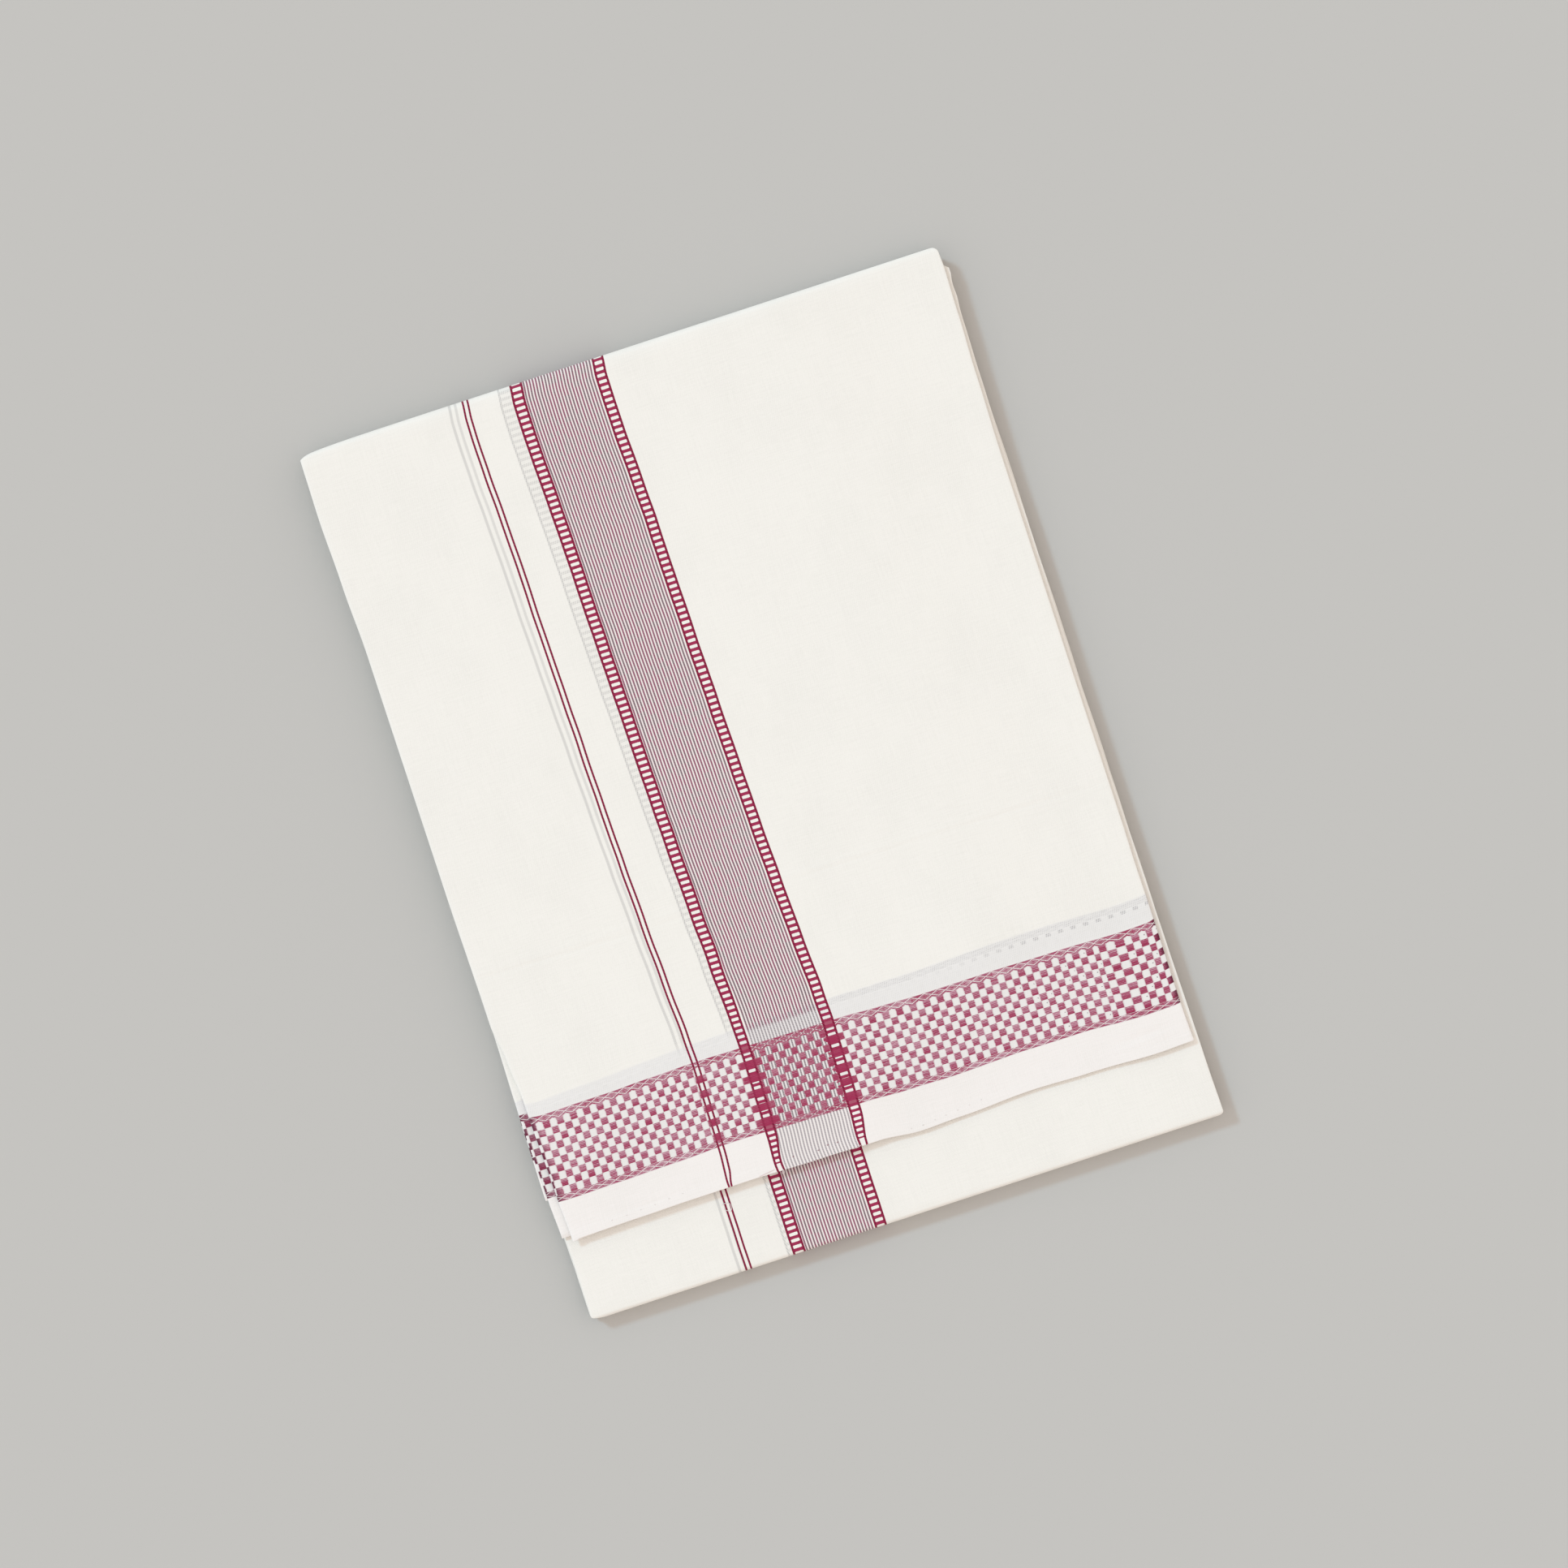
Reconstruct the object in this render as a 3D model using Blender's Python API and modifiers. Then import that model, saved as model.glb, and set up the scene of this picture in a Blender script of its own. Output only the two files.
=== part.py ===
"""A dhoti, folded and pressed flat: one long cotton cloth in five leaves, each leaf eight plies thick.

The leaves turn over at a top fold (+Y) and a bottom fold (-Y). The uppermost leaf is a flap: it comes
round the top fold and ends in a hem, short of the bottom fold, so that the next leaf shows below it.
Sizes and tables are in millimetres, and the meshes are in metres. +X is to the right along the folds,
+Y is towards the top fold and +Z is up. The origin is under the middle of the stack, on the surface.
"""
from math import cos, pi, sin, sqrt

import bpy

MM = 0.001

# The folded cloth as a whole.
FOLDED_WIDTH = 274.4
FOLDED_LENGTH = 371.6
HALF_WIDTH = FOLDED_WIDTH / 2
HALF_LENGTH = FOLDED_LENGTH / 2

# Walls and the clearance between neighbouring pieces.
LEAF_WALL = 1.1
PLY_WALL = 1.0
HEM_WALL = 1.35
SEAM_GAP = 0.3
EDGE_ROUND = 0.42
EDGE_SEGMENTS = 2
# Edges sharper than these angles are rounded on a wall, and shown crisp on the stack.
WALL_EDGE_ANGLE = pi / 3
STACK_EDGE_ANGLE = pi / 4

# Undersides and tops of the pieces, from the surface up.
HIDDEN_TOP = 5.55
LOWER_LEAF_TOP = HIDDEN_TOP + SEAM_GAP + LEAF_WALL
THIRD_PLY_TOP = LOWER_LEAF_TOP + SEAM_GAP + PLY_WALL
SECOND_PLY_TOP = THIRD_PLY_TOP + SEAM_GAP + PLY_WALL
FLAP_TOP = SECOND_PLY_TOP + SEAM_GAP + LEAF_WALL
SWELL = 0.35

# The big lengthwise folds: the flap turns round the whole second leaf, the lower leaf round the third.
TOP_TURN = (FLAP_TOP - HIDDEN_TOP - SEAM_GAP) / 2
BOTTOM_TURN = 1.65
TURN_STEPS = 8
TURN_ROOM = 0.35
# How far the turned cloth draws in at the left and right ends of each fold.
TOP_CORNERS = (3.0, 1.5)
BOTTOM_CORNERS = (5.5, 1.5)
HEM_WIDTH = 4.3

# The hidden leaves: height range, and how far each edge lies inside the folded cloth's outline.
# name, bottom, top, left, right, upper end, lower end
HIDDEN_LEAVES = (
    ("fifth", 0.00, 1.75, 2.2, 0.7, 2.6, 0.5),
    ("fourth", 1.75, 3.40, 1.2, 1.3, 0.5, 0.5),
    ("third", 3.40, HIDDEN_TOP, 1.9, 0.5, 0.5, 2.5),
)
# Fractions of a leaf's height where the stack has a ring of points.
LEAF_RINGS = (0.04, 0.26, 0.5, 0.74, 0.96)
MOST_GROOVE = 1.0
STACK_CORNER = 4.0
CORNER_STEPS = 5
SIDE_STEPS = 8
# The stack leans: its left edge lies this much farther in at the bottom fold than at the top.
STACK_LEAN = 2.2

# Side edges of each piece that shows: place along the cloth, left edge, right edge.
FLAP_EDGES = (
    (-152.0, -130.4, 134.5),
    (-134.0, -131.1, 134.2),
    (-92.0, -131.9, 134.4),
    (-76.0, -133.2, 134.3),
    (-59.0, -135.1, 134.5),
    (0.0, -135.6, 134.4),
    (98.0, -135.7, 134.4),
    (131.0, -136.6, 134.5),
    (164.0, -137.2, 135.3),
    (184.0, -136.9, 135.3),
)
SECOND_PLY_EDGES = (
    (-150.0, -134.6, 133.6),
    (-99.0, -135.4, 133.6),
    (-59.0, -135.0, 133.6),
    (184.0, -136.0, 134.4),
)
THIRD_PLY_EDGES = (
    (-133.5, -136.4, 133.2),
    (-106.0, -135.8, 133.2),
    (-70.0, -134.6, 133.2),
    (184.0, -135.6, 134.0),
)
LOWER_LEAF_EDGES = (
    (-185.0, -133.2, 137.1),
    (-164.0, -133.1, 136.8),
    (-99.0, -133.6, 136.4),
    (0.0, -134.2, 135.9),
    (65.0, -134.5, 136.3),
    (98.0, -134.6, 135.9),
    (165.0, -134.9, 136.6),
    (184.0, -134.8, 136.0),
)

# Free ends of the plies, by place across the cloth. The flap's hem hangs in two soft scallops.
HEM_LINE = (
    (-132.0, -152.2),
    (-68.0, -150.8),
    (-23.0, -151.8),
    (18.0, -153.5),
    (66.0, -151.9),
    (120.0, -153.7),
    (136.0, -153.4),
)
SECOND_PLY_END = -150.0
THIRD_PLY_END = -133.5

# Grid sizes.
FLAP_COLUMNS = 22
FLAP_ROWS = 30
PLY_COLUMNS = 12
PLY_ROWS = 20
LEAF_COLUMNS = 16
LEAF_ROWS = 26
HEM_COLUMNS = 22
HEM_ROWS = 2

# Linear base colours of the cotton.
BODY_WHITE = (0.89, 0.85, 0.80)
HEM_WHITE = (0.90, 0.85, 0.81)
SHADED_WHITE = (0.80, 0.76, 0.70)
COTTON_ROUGHNESS = 0.85


def clear_scene():
    """Takes away whatever the file opens with."""
    for old in list(bpy.data.objects):
        bpy.data.objects.remove(old, do_unlink=True)


def blend(a, b, share):
    return a + (b - a) * share


def along(table, place, column):
    """Reads a column of a short table, smoothly between its rows."""
    if place <= table[0][0]:
        return table[0][column]
    for lower, upper in zip(table, table[1:]):
        if place <= upper[0]:
            share = (place - lower[0]) / (upper[0] - lower[0])
            return blend(lower[column], upper[column], (1 - cos(pi * share)) / 2)
    return table[-1][column]


def swell(x, y):
    """How far the middle of the stack stands above its edges."""
    across = cos(pi / 2 * min(1, abs(x) / HALF_WIDTH))
    lengthwise = cos(pi / 2 * min(1, abs(y) / HALF_LENGTH))
    return SWELL * sqrt(across * lengthwise)


def cotton(name, colour):
    """A matt white cotton material."""
    material = bpy.data.materials.new(name)
    material.use_nodes = True
    shader = material.node_tree.nodes["Principled BSDF"]
    shader.inputs["Base Color"].default_value = (*colour, 1)
    shader.inputs["Roughness"].default_value = COTTON_ROUGHNESS
    shader.inputs["Metallic"].default_value = 0
    return material


def add_object(name, rows, closed, colour, collection):
    """Lofts a mesh through rows of points; closed rows are rings, with a flat cap at each end."""
    width = len(rows[0])
    points = [tuple(value * MM for value in point) for row in rows for point in row]
    faces = []
    for row in range(len(rows) - 1):
        for column in range(width if closed else width - 1):
            after = (column + 1) % width
            low = row * width
            high = low + width
            faces.append((low + column, low + after, high + after, high + column))
    if closed:
        faces.append(tuple(reversed(range(width))))
        faces.append(tuple(range((len(rows) - 1) * width, len(rows) * width)))
    mesh = bpy.data.meshes.new(name)
    mesh.from_pydata(points, [], faces)
    mesh.validate()
    piece = bpy.data.objects.new(name, mesh)
    piece.data.materials.append(cotton(name + "_cotton", colour))
    collection.objects.link(piece)
    return piece


def add_wall(piece, wall):
    """Gives an open sheet its thickness, below the sheet, and rounds its edges like soft folds."""
    solid = piece.modifiers.new("Wall", "SOLIDIFY")
    solid.thickness = wall * MM
    solid.offset = -1
    solid.use_even_offset = True
    edge = piece.modifiers.new("Soft edge", "BEVEL")
    edge.width = EDGE_ROUND * MM
    edge.segments = EDGE_SEGMENTS
    edge.limit_method = "ANGLE"
    edge.angle_limit = WALL_EDGE_ANGLE
    piece.data.shade_smooth()


def flat_row(edges, y_at, columns, top, height):
    """One row of points across a sheet, on its upper face."""
    row = []
    for column in range(columns + 1):
        share = column / columns
        middle = y_at(0)
        x = blend(along(edges, middle, 1), along(edges, middle, 2), share)
        y = y_at(x)
        left, right = along(edges, y, 1), along(edges, y, 2)
        x = blend(left, right, share)
        row.append((x, y, top + height(x, y)))
    return row


def turn_rows(edges, fold_y, outward, radius, top, corners, columns):
    """Rows that carry a sheet over a fold, in a half circle, drawn in a little at its two corners."""
    rows = []
    centre = fold_y - outward * radius
    for step in range(1, TURN_STEPS + 1):
        angle = pi * step / TURN_STEPS
        drawn_in = 1 - cos(min(angle, pi / 2))
        left = along(edges, centre, 1) + corners[0] * drawn_in
        right = along(edges, centre, 2) - corners[1] * drawn_in
        y = centre + outward * radius * sin(angle)
        z = top - radius * (1 - cos(angle))
        rows.append([(blend(left, right, column / columns), y, z) for column in range(columns + 1)])
    return rows


def bulge(z, low, high):
    """How far a rounded edge between two heights lies inside its own widest place."""
    depth = min(MOST_GROOVE, (high - low) / 2)
    off_middle = min(1, abs(2 * z - low - high) / (high - low))
    return depth * (1 - sqrt(1 - off_middle * off_middle))


def stack_ring(z, leaf):
    """The outline of the hidden leaves at one height, counter-clockwise, with round corners."""
    name, low, high, left, right, upper, lower = leaf
    side = bulge(z, low, high)
    # The fourth leaf turns into the fifth at the bottom fold and into the third at the top fold.
    lower_low, lower_high = (low, high) if name == "third" else (0, HIDDEN_LEAVES[1][2])
    upper_low, upper_high = (low, high) if name == "fifth" else (HIDDEN_LEAVES[1][1], HIDDEN_TOP)
    west = -HALF_WIDTH + left + side
    east = HALF_WIDTH - right - side
    south = -HALF_LENGTH + lower + bulge(z, lower_low, lower_high)
    north = HALF_LENGTH - upper - bulge(z, upper_low, upper_high)
    corners = (
        (east - STACK_CORNER, south + STACK_CORNER, -pi / 2),
        (east - STACK_CORNER, north - STACK_CORNER, 0),
        (west + STACK_CORNER, north - STACK_CORNER, pi / 2),
        (west + STACK_CORNER, south + STACK_CORNER, pi),
    )
    arcs = []
    for x, y, start in corners:
        angles = [start + pi / 2 * step / CORNER_STEPS for step in range(CORNER_STEPS + 1)]
        arcs.append([(x + STACK_CORNER * cos(a), y + STACK_CORNER * sin(a)) for a in angles])
    outline = []
    for arc, following in zip(arcs, arcs[1:] + arcs[:1]):
        outline += arc
        start, end = arc[-1], following[0]
        for step in range(1, SIDE_STEPS):
            share = step / SIDE_STEPS
            outline.append((blend(start[0], end[0], share), blend(start[1], end[1], share)))
    return [(x + lean(x, y), y, z) for x, y in outline]


def lean(x, y):
    """The left side of the stack runs in towards the bottom fold, and the right side runs straight."""
    at_left = (HALF_WIDTH - x) / FOLDED_WIDTH
    towards_bottom = (HALF_LENGTH - y) / FOLDED_LENGTH
    return STACK_LEAN * at_left * towards_bottom


def make_hidden_leaves(collection):
    """Three whole leaves, pressed together, with a groove wherever one leaf ends on the next."""
    rings = [stack_ring(0, HIDDEN_LEAVES[0])]
    for leaf in HIDDEN_LEAVES:
        bottom, top = leaf[1], leaf[2]
        rings += [stack_ring(blend(bottom, top, share), leaf) for share in LEAF_RINGS]
    rings.append(stack_ring(HIDDEN_TOP, HIDDEN_LEAVES[-1]))
    stack = add_object("hidden_leaves", rings, True, SHADED_WHITE, collection)
    stack.data.shade_smooth()
    stack.data.set_sharp_from_angle(angle=STACK_EDGE_ANGLE)


def make_lower_leaf(collection):
    """The second leaf: plain under the flap, it shows below the hem and turns over the bottom fold."""
    fold = -HALF_LENGTH
    start = HALF_LENGTH - TOP_TURN - TURN_ROOM
    end = fold + BOTTOM_TURN
    rows = turn_rows(
        LOWER_LEAF_EDGES, fold, -1, BOTTOM_TURN, LOWER_LEAF_TOP, BOTTOM_CORNERS, LEAF_COLUMNS
    )
    rows.reverse()
    for step in range(LEAF_ROWS + 1):
        y = blend(end, start, step / LEAF_ROWS)
        rows.append(flat_row(LOWER_LEAF_EDGES, lambda x: y, LEAF_COLUMNS, LOWER_LEAF_TOP, swell))
    leaf = add_object("lower_leaf", rows, False, BODY_WHITE, collection)
    add_wall(leaf, LEAF_WALL)


def make_ply(name, edges, free_end, top, collection):
    """A ply inside the flap, which peeks out at the left and stops at its own free end."""
    start = HALF_LENGTH - TOP_TURN - TURN_ROOM
    rows = []
    for step in range(PLY_ROWS + 1):
        y = blend(free_end, start, step / PLY_ROWS)
        rows.append(flat_row(edges, lambda x: y, PLY_COLUMNS, top, swell))
    ply = add_object(name, rows, False, BODY_WHITE, collection)
    add_wall(ply, PLY_WALL)


def hem_line(x):
    return along(HEM_LINE, x, 1)


def make_flap(collection):
    """The top leaf: from the hem's seam, up the cloth and round the top fold."""
    start = HALF_LENGTH - TOP_TURN
    rows = []
    for step in range(FLAP_ROWS + 1):
        share = step / FLAP_ROWS

        def y_at(x):
            return blend(hem_line(x) + HEM_WIDTH + SEAM_GAP, start, share)

        rows.append(flat_row(FLAP_EDGES, y_at, FLAP_COLUMNS, FLAP_TOP, swell))
    rows += turn_rows(FLAP_EDGES, HALF_LENGTH, 1, TOP_TURN, FLAP_TOP, TOP_CORNERS, FLAP_COLUMNS)
    flap = add_object("top_flap", rows, False, BODY_WHITE, collection)
    add_wall(flap, LEAF_WALL)


def make_hem(collection):
    """The hem: the cloth's end, turned in on itself, so it is a little thicker than the flap."""
    rows = []
    for step in range(HEM_ROWS + 1):

        def y_at(x):
            return hem_line(x) + HEM_WIDTH * step / HEM_ROWS

        hem_top = FLAP_TOP - LEAF_WALL + HEM_WALL
        rows.append(flat_row(FLAP_EDGES, y_at, HEM_COLUMNS, hem_top, swell))
    hem = add_object("end_hem", rows, False, HEM_WHITE, collection)
    add_wall(hem, HEM_WALL)


def main():
    clear_scene()
    collection = bpy.data.collections.new("folded_dhoti")
    bpy.context.scene.collection.children.link(collection)
    make_hidden_leaves(collection)
    make_lower_leaf(collection)
    make_ply("third_ply", THIRD_PLY_EDGES, THIRD_PLY_END, THIRD_PLY_TOP, collection)
    make_ply("second_ply", SECOND_PLY_EDGES, SECOND_PLY_END, SECOND_PLY_TOP, collection)
    make_flap(collection)
    make_hem(collection)


main()
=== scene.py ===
"""The finish of a folded dhoti: a long white cotton cloth with maroon ladders, pinstripes and a check band.

The cloth was folded in four across its width and in half along its length, then into five leaves, so
each leaf holds four pairs of plies. Each pair is a flattened sleeve here, and it runs on from leaf to
leaf over the top fold (+Y) and the bottom fold (-Y) as the real one does. Sizes, places and tables
are in millimetres and the meshes are in metres.
"""
import random
from copy import copy
from math import cos, exp, hypot, pi, radians, sin, sqrt, tan

import bpy
import numpy as np
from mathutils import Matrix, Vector


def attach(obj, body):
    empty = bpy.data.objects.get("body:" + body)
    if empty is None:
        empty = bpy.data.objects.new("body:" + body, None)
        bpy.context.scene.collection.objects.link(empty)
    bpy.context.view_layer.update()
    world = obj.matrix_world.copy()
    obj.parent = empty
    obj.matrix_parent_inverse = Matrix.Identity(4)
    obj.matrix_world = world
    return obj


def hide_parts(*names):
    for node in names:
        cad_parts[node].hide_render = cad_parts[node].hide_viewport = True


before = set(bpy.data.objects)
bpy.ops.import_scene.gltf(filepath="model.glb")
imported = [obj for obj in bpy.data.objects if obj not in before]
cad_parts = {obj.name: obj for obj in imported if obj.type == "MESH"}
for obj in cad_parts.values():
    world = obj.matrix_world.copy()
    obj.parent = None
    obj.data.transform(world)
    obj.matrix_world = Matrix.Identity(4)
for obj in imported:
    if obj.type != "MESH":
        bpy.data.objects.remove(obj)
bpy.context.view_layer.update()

MM = 0.001

# The folded cloth as a whole.
HALF_WIDTH = 137.2
HALF_LENGTH = 185.8

# The five leaves, from the top one down: underside and upper side.
LEAVES = ((6.95, 10.95), (5.20, 6.95), (3.40, 5.20), (1.70, 3.40), (0.00, 1.70))
PAIRS = 4
# Pairs of plies lie this far apart, so that neighbours never cut each other.
BREATHING = 0.03
# How far the stack's middle stands above its edges.
SWELL = 0.35
# How deep a fold is, as a share of its height, and how far each leaf's folds stop short of the ends.
FOLD_DEPTH = 0.92
FOLD_INSETS = (0.0, 0.0, 0.5, 0.5)
LAST_FOLD_INSET = 2.6
FOLD_STEPS = 12

# Side edges of the pieces that show: place along the cloth, left edge, right edge.
FLAP_EDGES = (
    (-152.0, -130.4, 134.5), (-134.0, -131.1, 134.2), (-92.0, -131.9, 134.4),
    (-76.0, -133.2, 134.3), (-59.0, -135.1, 134.5), (0.0, -135.6, 134.4), (98.0, -135.7, 134.4),
    (131.0, -136.6, 134.9), (158.0, -137.2, 135.6), (177.0, -137.0, 136.0), (184.0, -136.9, 135.7),
)
INNER_PLY_EDGES = (
    (-144.0, -129.6, 133.4), (-99.0, -131.6, 133.4), (-59.0, -134.2, 133.4), (184.0, -135.8, 134.2),
)
SECOND_PLY_EDGES = (
    (-150.0, -134.4, 133.6), (-133.0, -135.0, 133.6), (-99.0, -135.5, 133.6),
    (-59.0, -135.0, 133.6), (184.0, -136.0, 134.4),
)
THIRD_PLY_EDGES = (
    (-133.5, -136.05, 133.2), (-106.0, -135.8, 133.2), (-70.0, -134.6, 133.2),
    (184.0, -135.6, 134.0),
)
LOWER_LEAF_EDGES = (
    (-185.0, -133.2, 137.1), (-164.0, -133.1, 136.8), (-99.0, -133.6, 136.4), (0.0, -134.2, 135.9),
    (65.0, -134.5, 136.3), (98.0, -134.6, 135.9), (131.0, -134.8, 136.4), (154.0, -134.9, 136.8),
    (160.0, -134.9, 137.0), (163.0, -134.9, 137.45), (169.0, -134.9, 137.25),
    (175.5, -134.9, 138.1), (178.0, -134.8, 135.2), (184.0, -134.8, 134.8),
)
# The hidden leaves lie inside the outline by this much: third, fourth and fifth leaf, left and right.
HIDDEN_INSETS = ((1.9, 0.5), (1.2, 1.3), (2.2, 0.7))
# Their left side runs in by this much at the bottom fold.
STACK_LEAN = 2.2
# Their right side runs in near the top fold: by how much, from where, and over what length.
TOP_INSET = 1.5
TOP_INSET_START = 174.0
TOP_INSET_RUN = 4.0
# Their edges wander in waves of a few lengths: the shortest, the step between them, how many there
# are, how far one wave is turned on from the next, and half their swing.
EDGE_WAVE = 58.0
EDGE_WAVE_STEP = 7
EDGE_WAVE_KINDS = 5
EDGE_WAVE_TURN = 1.7
EDGE_WOBBLE = 0.16
# How far at most each pair's edges lie further in, by random draws.
SLOT_SPREAD = 0.85
SLOT_SEED = 11

# The check band and the hem: place across, the band's upper edge, its lower edge, the cloth's end.
CROSS_LINES = (
    (-133.0, -98.8, -135.5, -152.9), (-125.5, -99.4, -135.7, -151.9),
    (-102.5, -99.2, -135.4, -151.6), (-79.5, -98.7, -135.1, -151.3), (-56.5, -98.4, -134.4, -151.2),
    (-23.0, -99.0, -135.2, -151.8), (1.0, -99.5, -135.7, -152.2), (18.0, -100.2, -136.5, -153.8),
    (36.0, -100.8, -136.8, -153.3), (66.0, -100.8, -136.2, -152.1), (91.0, -101.2, -136.5, -152.8),
    (120.0, -102.1, -137.8, -153.8), (130.5, -101.9, -137.7, -153.5),
    (136.0, -101.0, -137.0, -153.3),
)
# Where the band's head lies on average, for the flap's length.
BAND_HEAD_PLACE = -100.2

# Places along the weave, up from the cloth's end.
BAND_FOOT = 16.6
BAND_HEAD = 52.7
HEM_DEPTH = 4.3

# Where the left ladder's left side lies, by place along the flap: the weave drifts a little.
LADDER_PLACE = (
    (-153.0, -42.8), (-148.0, -43.1), (-136.0, -42.5), (-123.7, -42.2), (-99.3, -41.9),
    (-87.2, -42.2), (-62.8, -43.3), (-38.4, -44.2), (-14.0, -44.9), (10.3, -45.4), (34.7, -45.8),
    (71.3, -46.3), (95.7, -46.6), (115.0, -46.7), (134.0, -47.1), (155.0, -47.65), (168.0, -47.8),
    (177.0, -47.7), (186.0, -47.0),
)
LOWER_LADDER_PLACE = ((0.0, -47.2),)
PLY_LADDER_PLACE = ((0.0, -49.0),)

# Cross sections of a sleeve: how deep its rounded side edges are, and their steps.
EDGE_DEPTH = 1.2
EDGE_STEPS = 8
# Free ends: how thick a ply's and the hem's look, how proud the hem stands, and how far a lip goes in.
PLY = 0.30
HEM_WALL = 0.42
HEM_RISE = 0.14
LIP_STEPS = 5
LIP_REACH = 6.0

# Places across the weave, from the left ladder's left side, where the checks' columns start,
# as (place, column number).
CHECK_COLUMNS = (
    (-88.1, -23.0), (-73.7, -18.0), (-51.0, -10.0), (-39.7, -6.0), (-26.3, -1.0), (-21.2, 1.0),
    (-16.0, 2.0), (0.0, 8.0), (5.4, 9.0), (7.2, 10.0), (35.1, 21.0), (40.1, 23.0), (42.1, 24.0),
    (140.1, 58.0), (146.0, 60.0), (149.0, 61.0), (151.2, 62.0), (154.4, 63.0), (158.2, 64.0),
    (162.2, 65.0), (165.3, 66.0), (171.6, 68.0), (174.2, 69.0),
)

# Places along the weave where the ladders' rungs start, as (place, rung number).
RUNGS = ((4.45, 0.5), (16.0, 5.5), (54.3, 21.5), (66.8, 26.5), (325.8, 126.5))
# Dyed yarn is darkened within this much of a sleeve's folded side edges: painted shade, and partly the
# fold's crowded threads.
FOLD_SHADE = 1.5

# Shares of a texture map: the face that shows and the hidden one, and a rounded edge.
MAP_SPANS = (0.89, 0.06)
EDGE_SPAN = 0.025
# The share of the flap's map for what shows of it, up to the top fold.
SEEN_SHARE = 0.94

# Soft creases on the top leaf: start, end, half width, depth (a ridge where it is negative).
CREASES = (
    (-136.0, -39.2, -60.0, -41.4, 0.9, 0.10), (-60.0, -41.4, -38.0, -41.0, 0.9, 0.06),
    (-8.0, -40.0, 66.0, -41.3, 0.9, 0.08), (66.0, -41.3, 134.0, -42.6, 0.9, 0.13),
    (-136.0, -37.4, 134.0, -40.6, 1.6, -0.07), (103.0, -145.6, 127.0, -144.7, 1.4, 0.42),
    (100.0, -147.8, 122.0, -147.2, 1.8, -0.16), (-112.0, -146.9, -84.0, -148.0, 0.8, 0.09),
    (44.0, -147.6, 62.0, -148.2, 0.8, 0.07), (15.5, -140.0, 14.0, -149.0, 2.0, 0.08),
    (100.0, -22.0, 125.0, -27.5, 2.4, 0.07), (98.0, 3.0, 122.0, -3.5, 2.2, 0.06),
    (78.0, 20.0, 118.0, 16.0, 3.0, 0.05), (-121.0, 107.0, -118.5, 148.0, 2.0, 0.05),
    (-100.0, 24.0, -98.0, 66.0, 2.2, 0.05), (-66.0, -60.0, -64.0, -20.0, 2.6, 0.05),
    (92.0, 138.0, 106.0, 151.0, 3.5, 0.05), (-92.0, 120.0, -90.0, 176.0, 3.0, 0.05),
    (40.0, 148.0, 96.0, 153.0, 4.0, 0.05),
)
# The stretch of a half wave by which a crease is deepest at its middle and shallow at its ends.
CREASE_FADE = (0.12, 0.88)
# Long gentle waves in the top leaf: wavelengths across and along, turn, height.
WAVES = ((88.0, 61.0, 0.4, 0.035), (47.0, 104.0, 2.1, 0.030), (33.0, 39.0, 4.4, 0.014))

# Spacing of the mesh: stretches of the flap along its weave, from the hem's seam to the top fold,
# as (start, end, spacing).
FLAP_ROWS = (
    (HEM_DEPTH - 0.8, HEM_DEPTH + 0.5, 0.4), (BAND_FOOT - 11.8, BAND_FOOT, 0.9),
    (BAND_FOOT, BAND_HEAD, 1.5), (BAND_HEAD, 108.0, 1.6), (108.0, 120.0, 0.5), (120.0, 332.0, 1.7),
)
# The flap's columns, and rows and columns elsewhere.
COLUMN_SPACING = 2.1
ROW_SPACING = 2.4
HIDDEN_ROW_SPACING = 4.8
VISIBLE_LEAVES = 2
COARSE_COLUMNS = 24
FINE_COLUMNS = 60


def blend(a, b, share):
    return a + (b - a) * share


def along(table, place, column):
    """Reads a column of a short table, smoothly between its rows."""
    if place <= table[0][0]:
        return table[0][column]
    for lower, upper in zip(table, table[1:]):
        if place <= upper[0]:
            share = (place - lower[0]) / (upper[0] - lower[0])
            return blend(lower[column], upper[column], (1 - cos(pi * share)) / 2)
    return table[-1][column]


def straight_along(table, place):
    """Reads the second column of a short table, with straight lines between and past its rows."""
    lower, upper = table[0], table[1]
    for row, following in zip(table, table[1:]):
        if place > row[0]:
            lower, upper = row, following
    return blend(lower[1], upper[1], (place - lower[0]) / (upper[0] - lower[0]))


def swell(x, y):
    """How far the middle of the stack stands above its edges."""
    across = cos(pi / 2 * min(1, abs(x) / HALF_WIDTH))
    lengthwise = cos(pi / 2 * min(1, abs(y) / HALF_LENGTH))
    return SWELL * sqrt(across * lengthwise)


def crease(x, y, row):
    """How much one crease lowers the cloth at a place."""
    x0, y0, x1, y1, width, depth = row
    share = ((x - x0) * (x1 - x0) + (y - y0) * (y1 - y0)) / hypot(x1 - x0, y1 - y0) ** 2
    nearest = min(1, max(0, share))
    away = hypot(x - blend(x0, x1, nearest), y - blend(y0, y1, nearest))
    fade = sin(pi * blend(*CREASE_FADE, nearest))
    return depth * fade * exp(-((away / width) ** 2))


def relief(x, y):
    """The top leaf's form above its flat level."""
    height = swell(x, y)
    for row in CREASES:
        height -= crease(x, y, row)
    for across, lengthwise, turn, size in WAVES:
        height += size * sin(2 * pi * (x / across + y / lengthwise) + turn)
    return height


# How much flatter than its full height the top leaf lies: from left to right, the same at the hem,
# and how the first turns into the second along the cloth.
SETTLED_ACROSS = ((60.0, 0.0), (126.0, 0.5))
SETTLED_AT_HEM = (
    (-50.0, 0.2), (-8.0, 0.25), (18.0, 0.55), (45.0, 0.64), (96.0, 0.64), (122.0, 0.5),
)
HEM_SHARE = ((-148.0, 1.0), (-80.0, 0.0))


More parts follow.
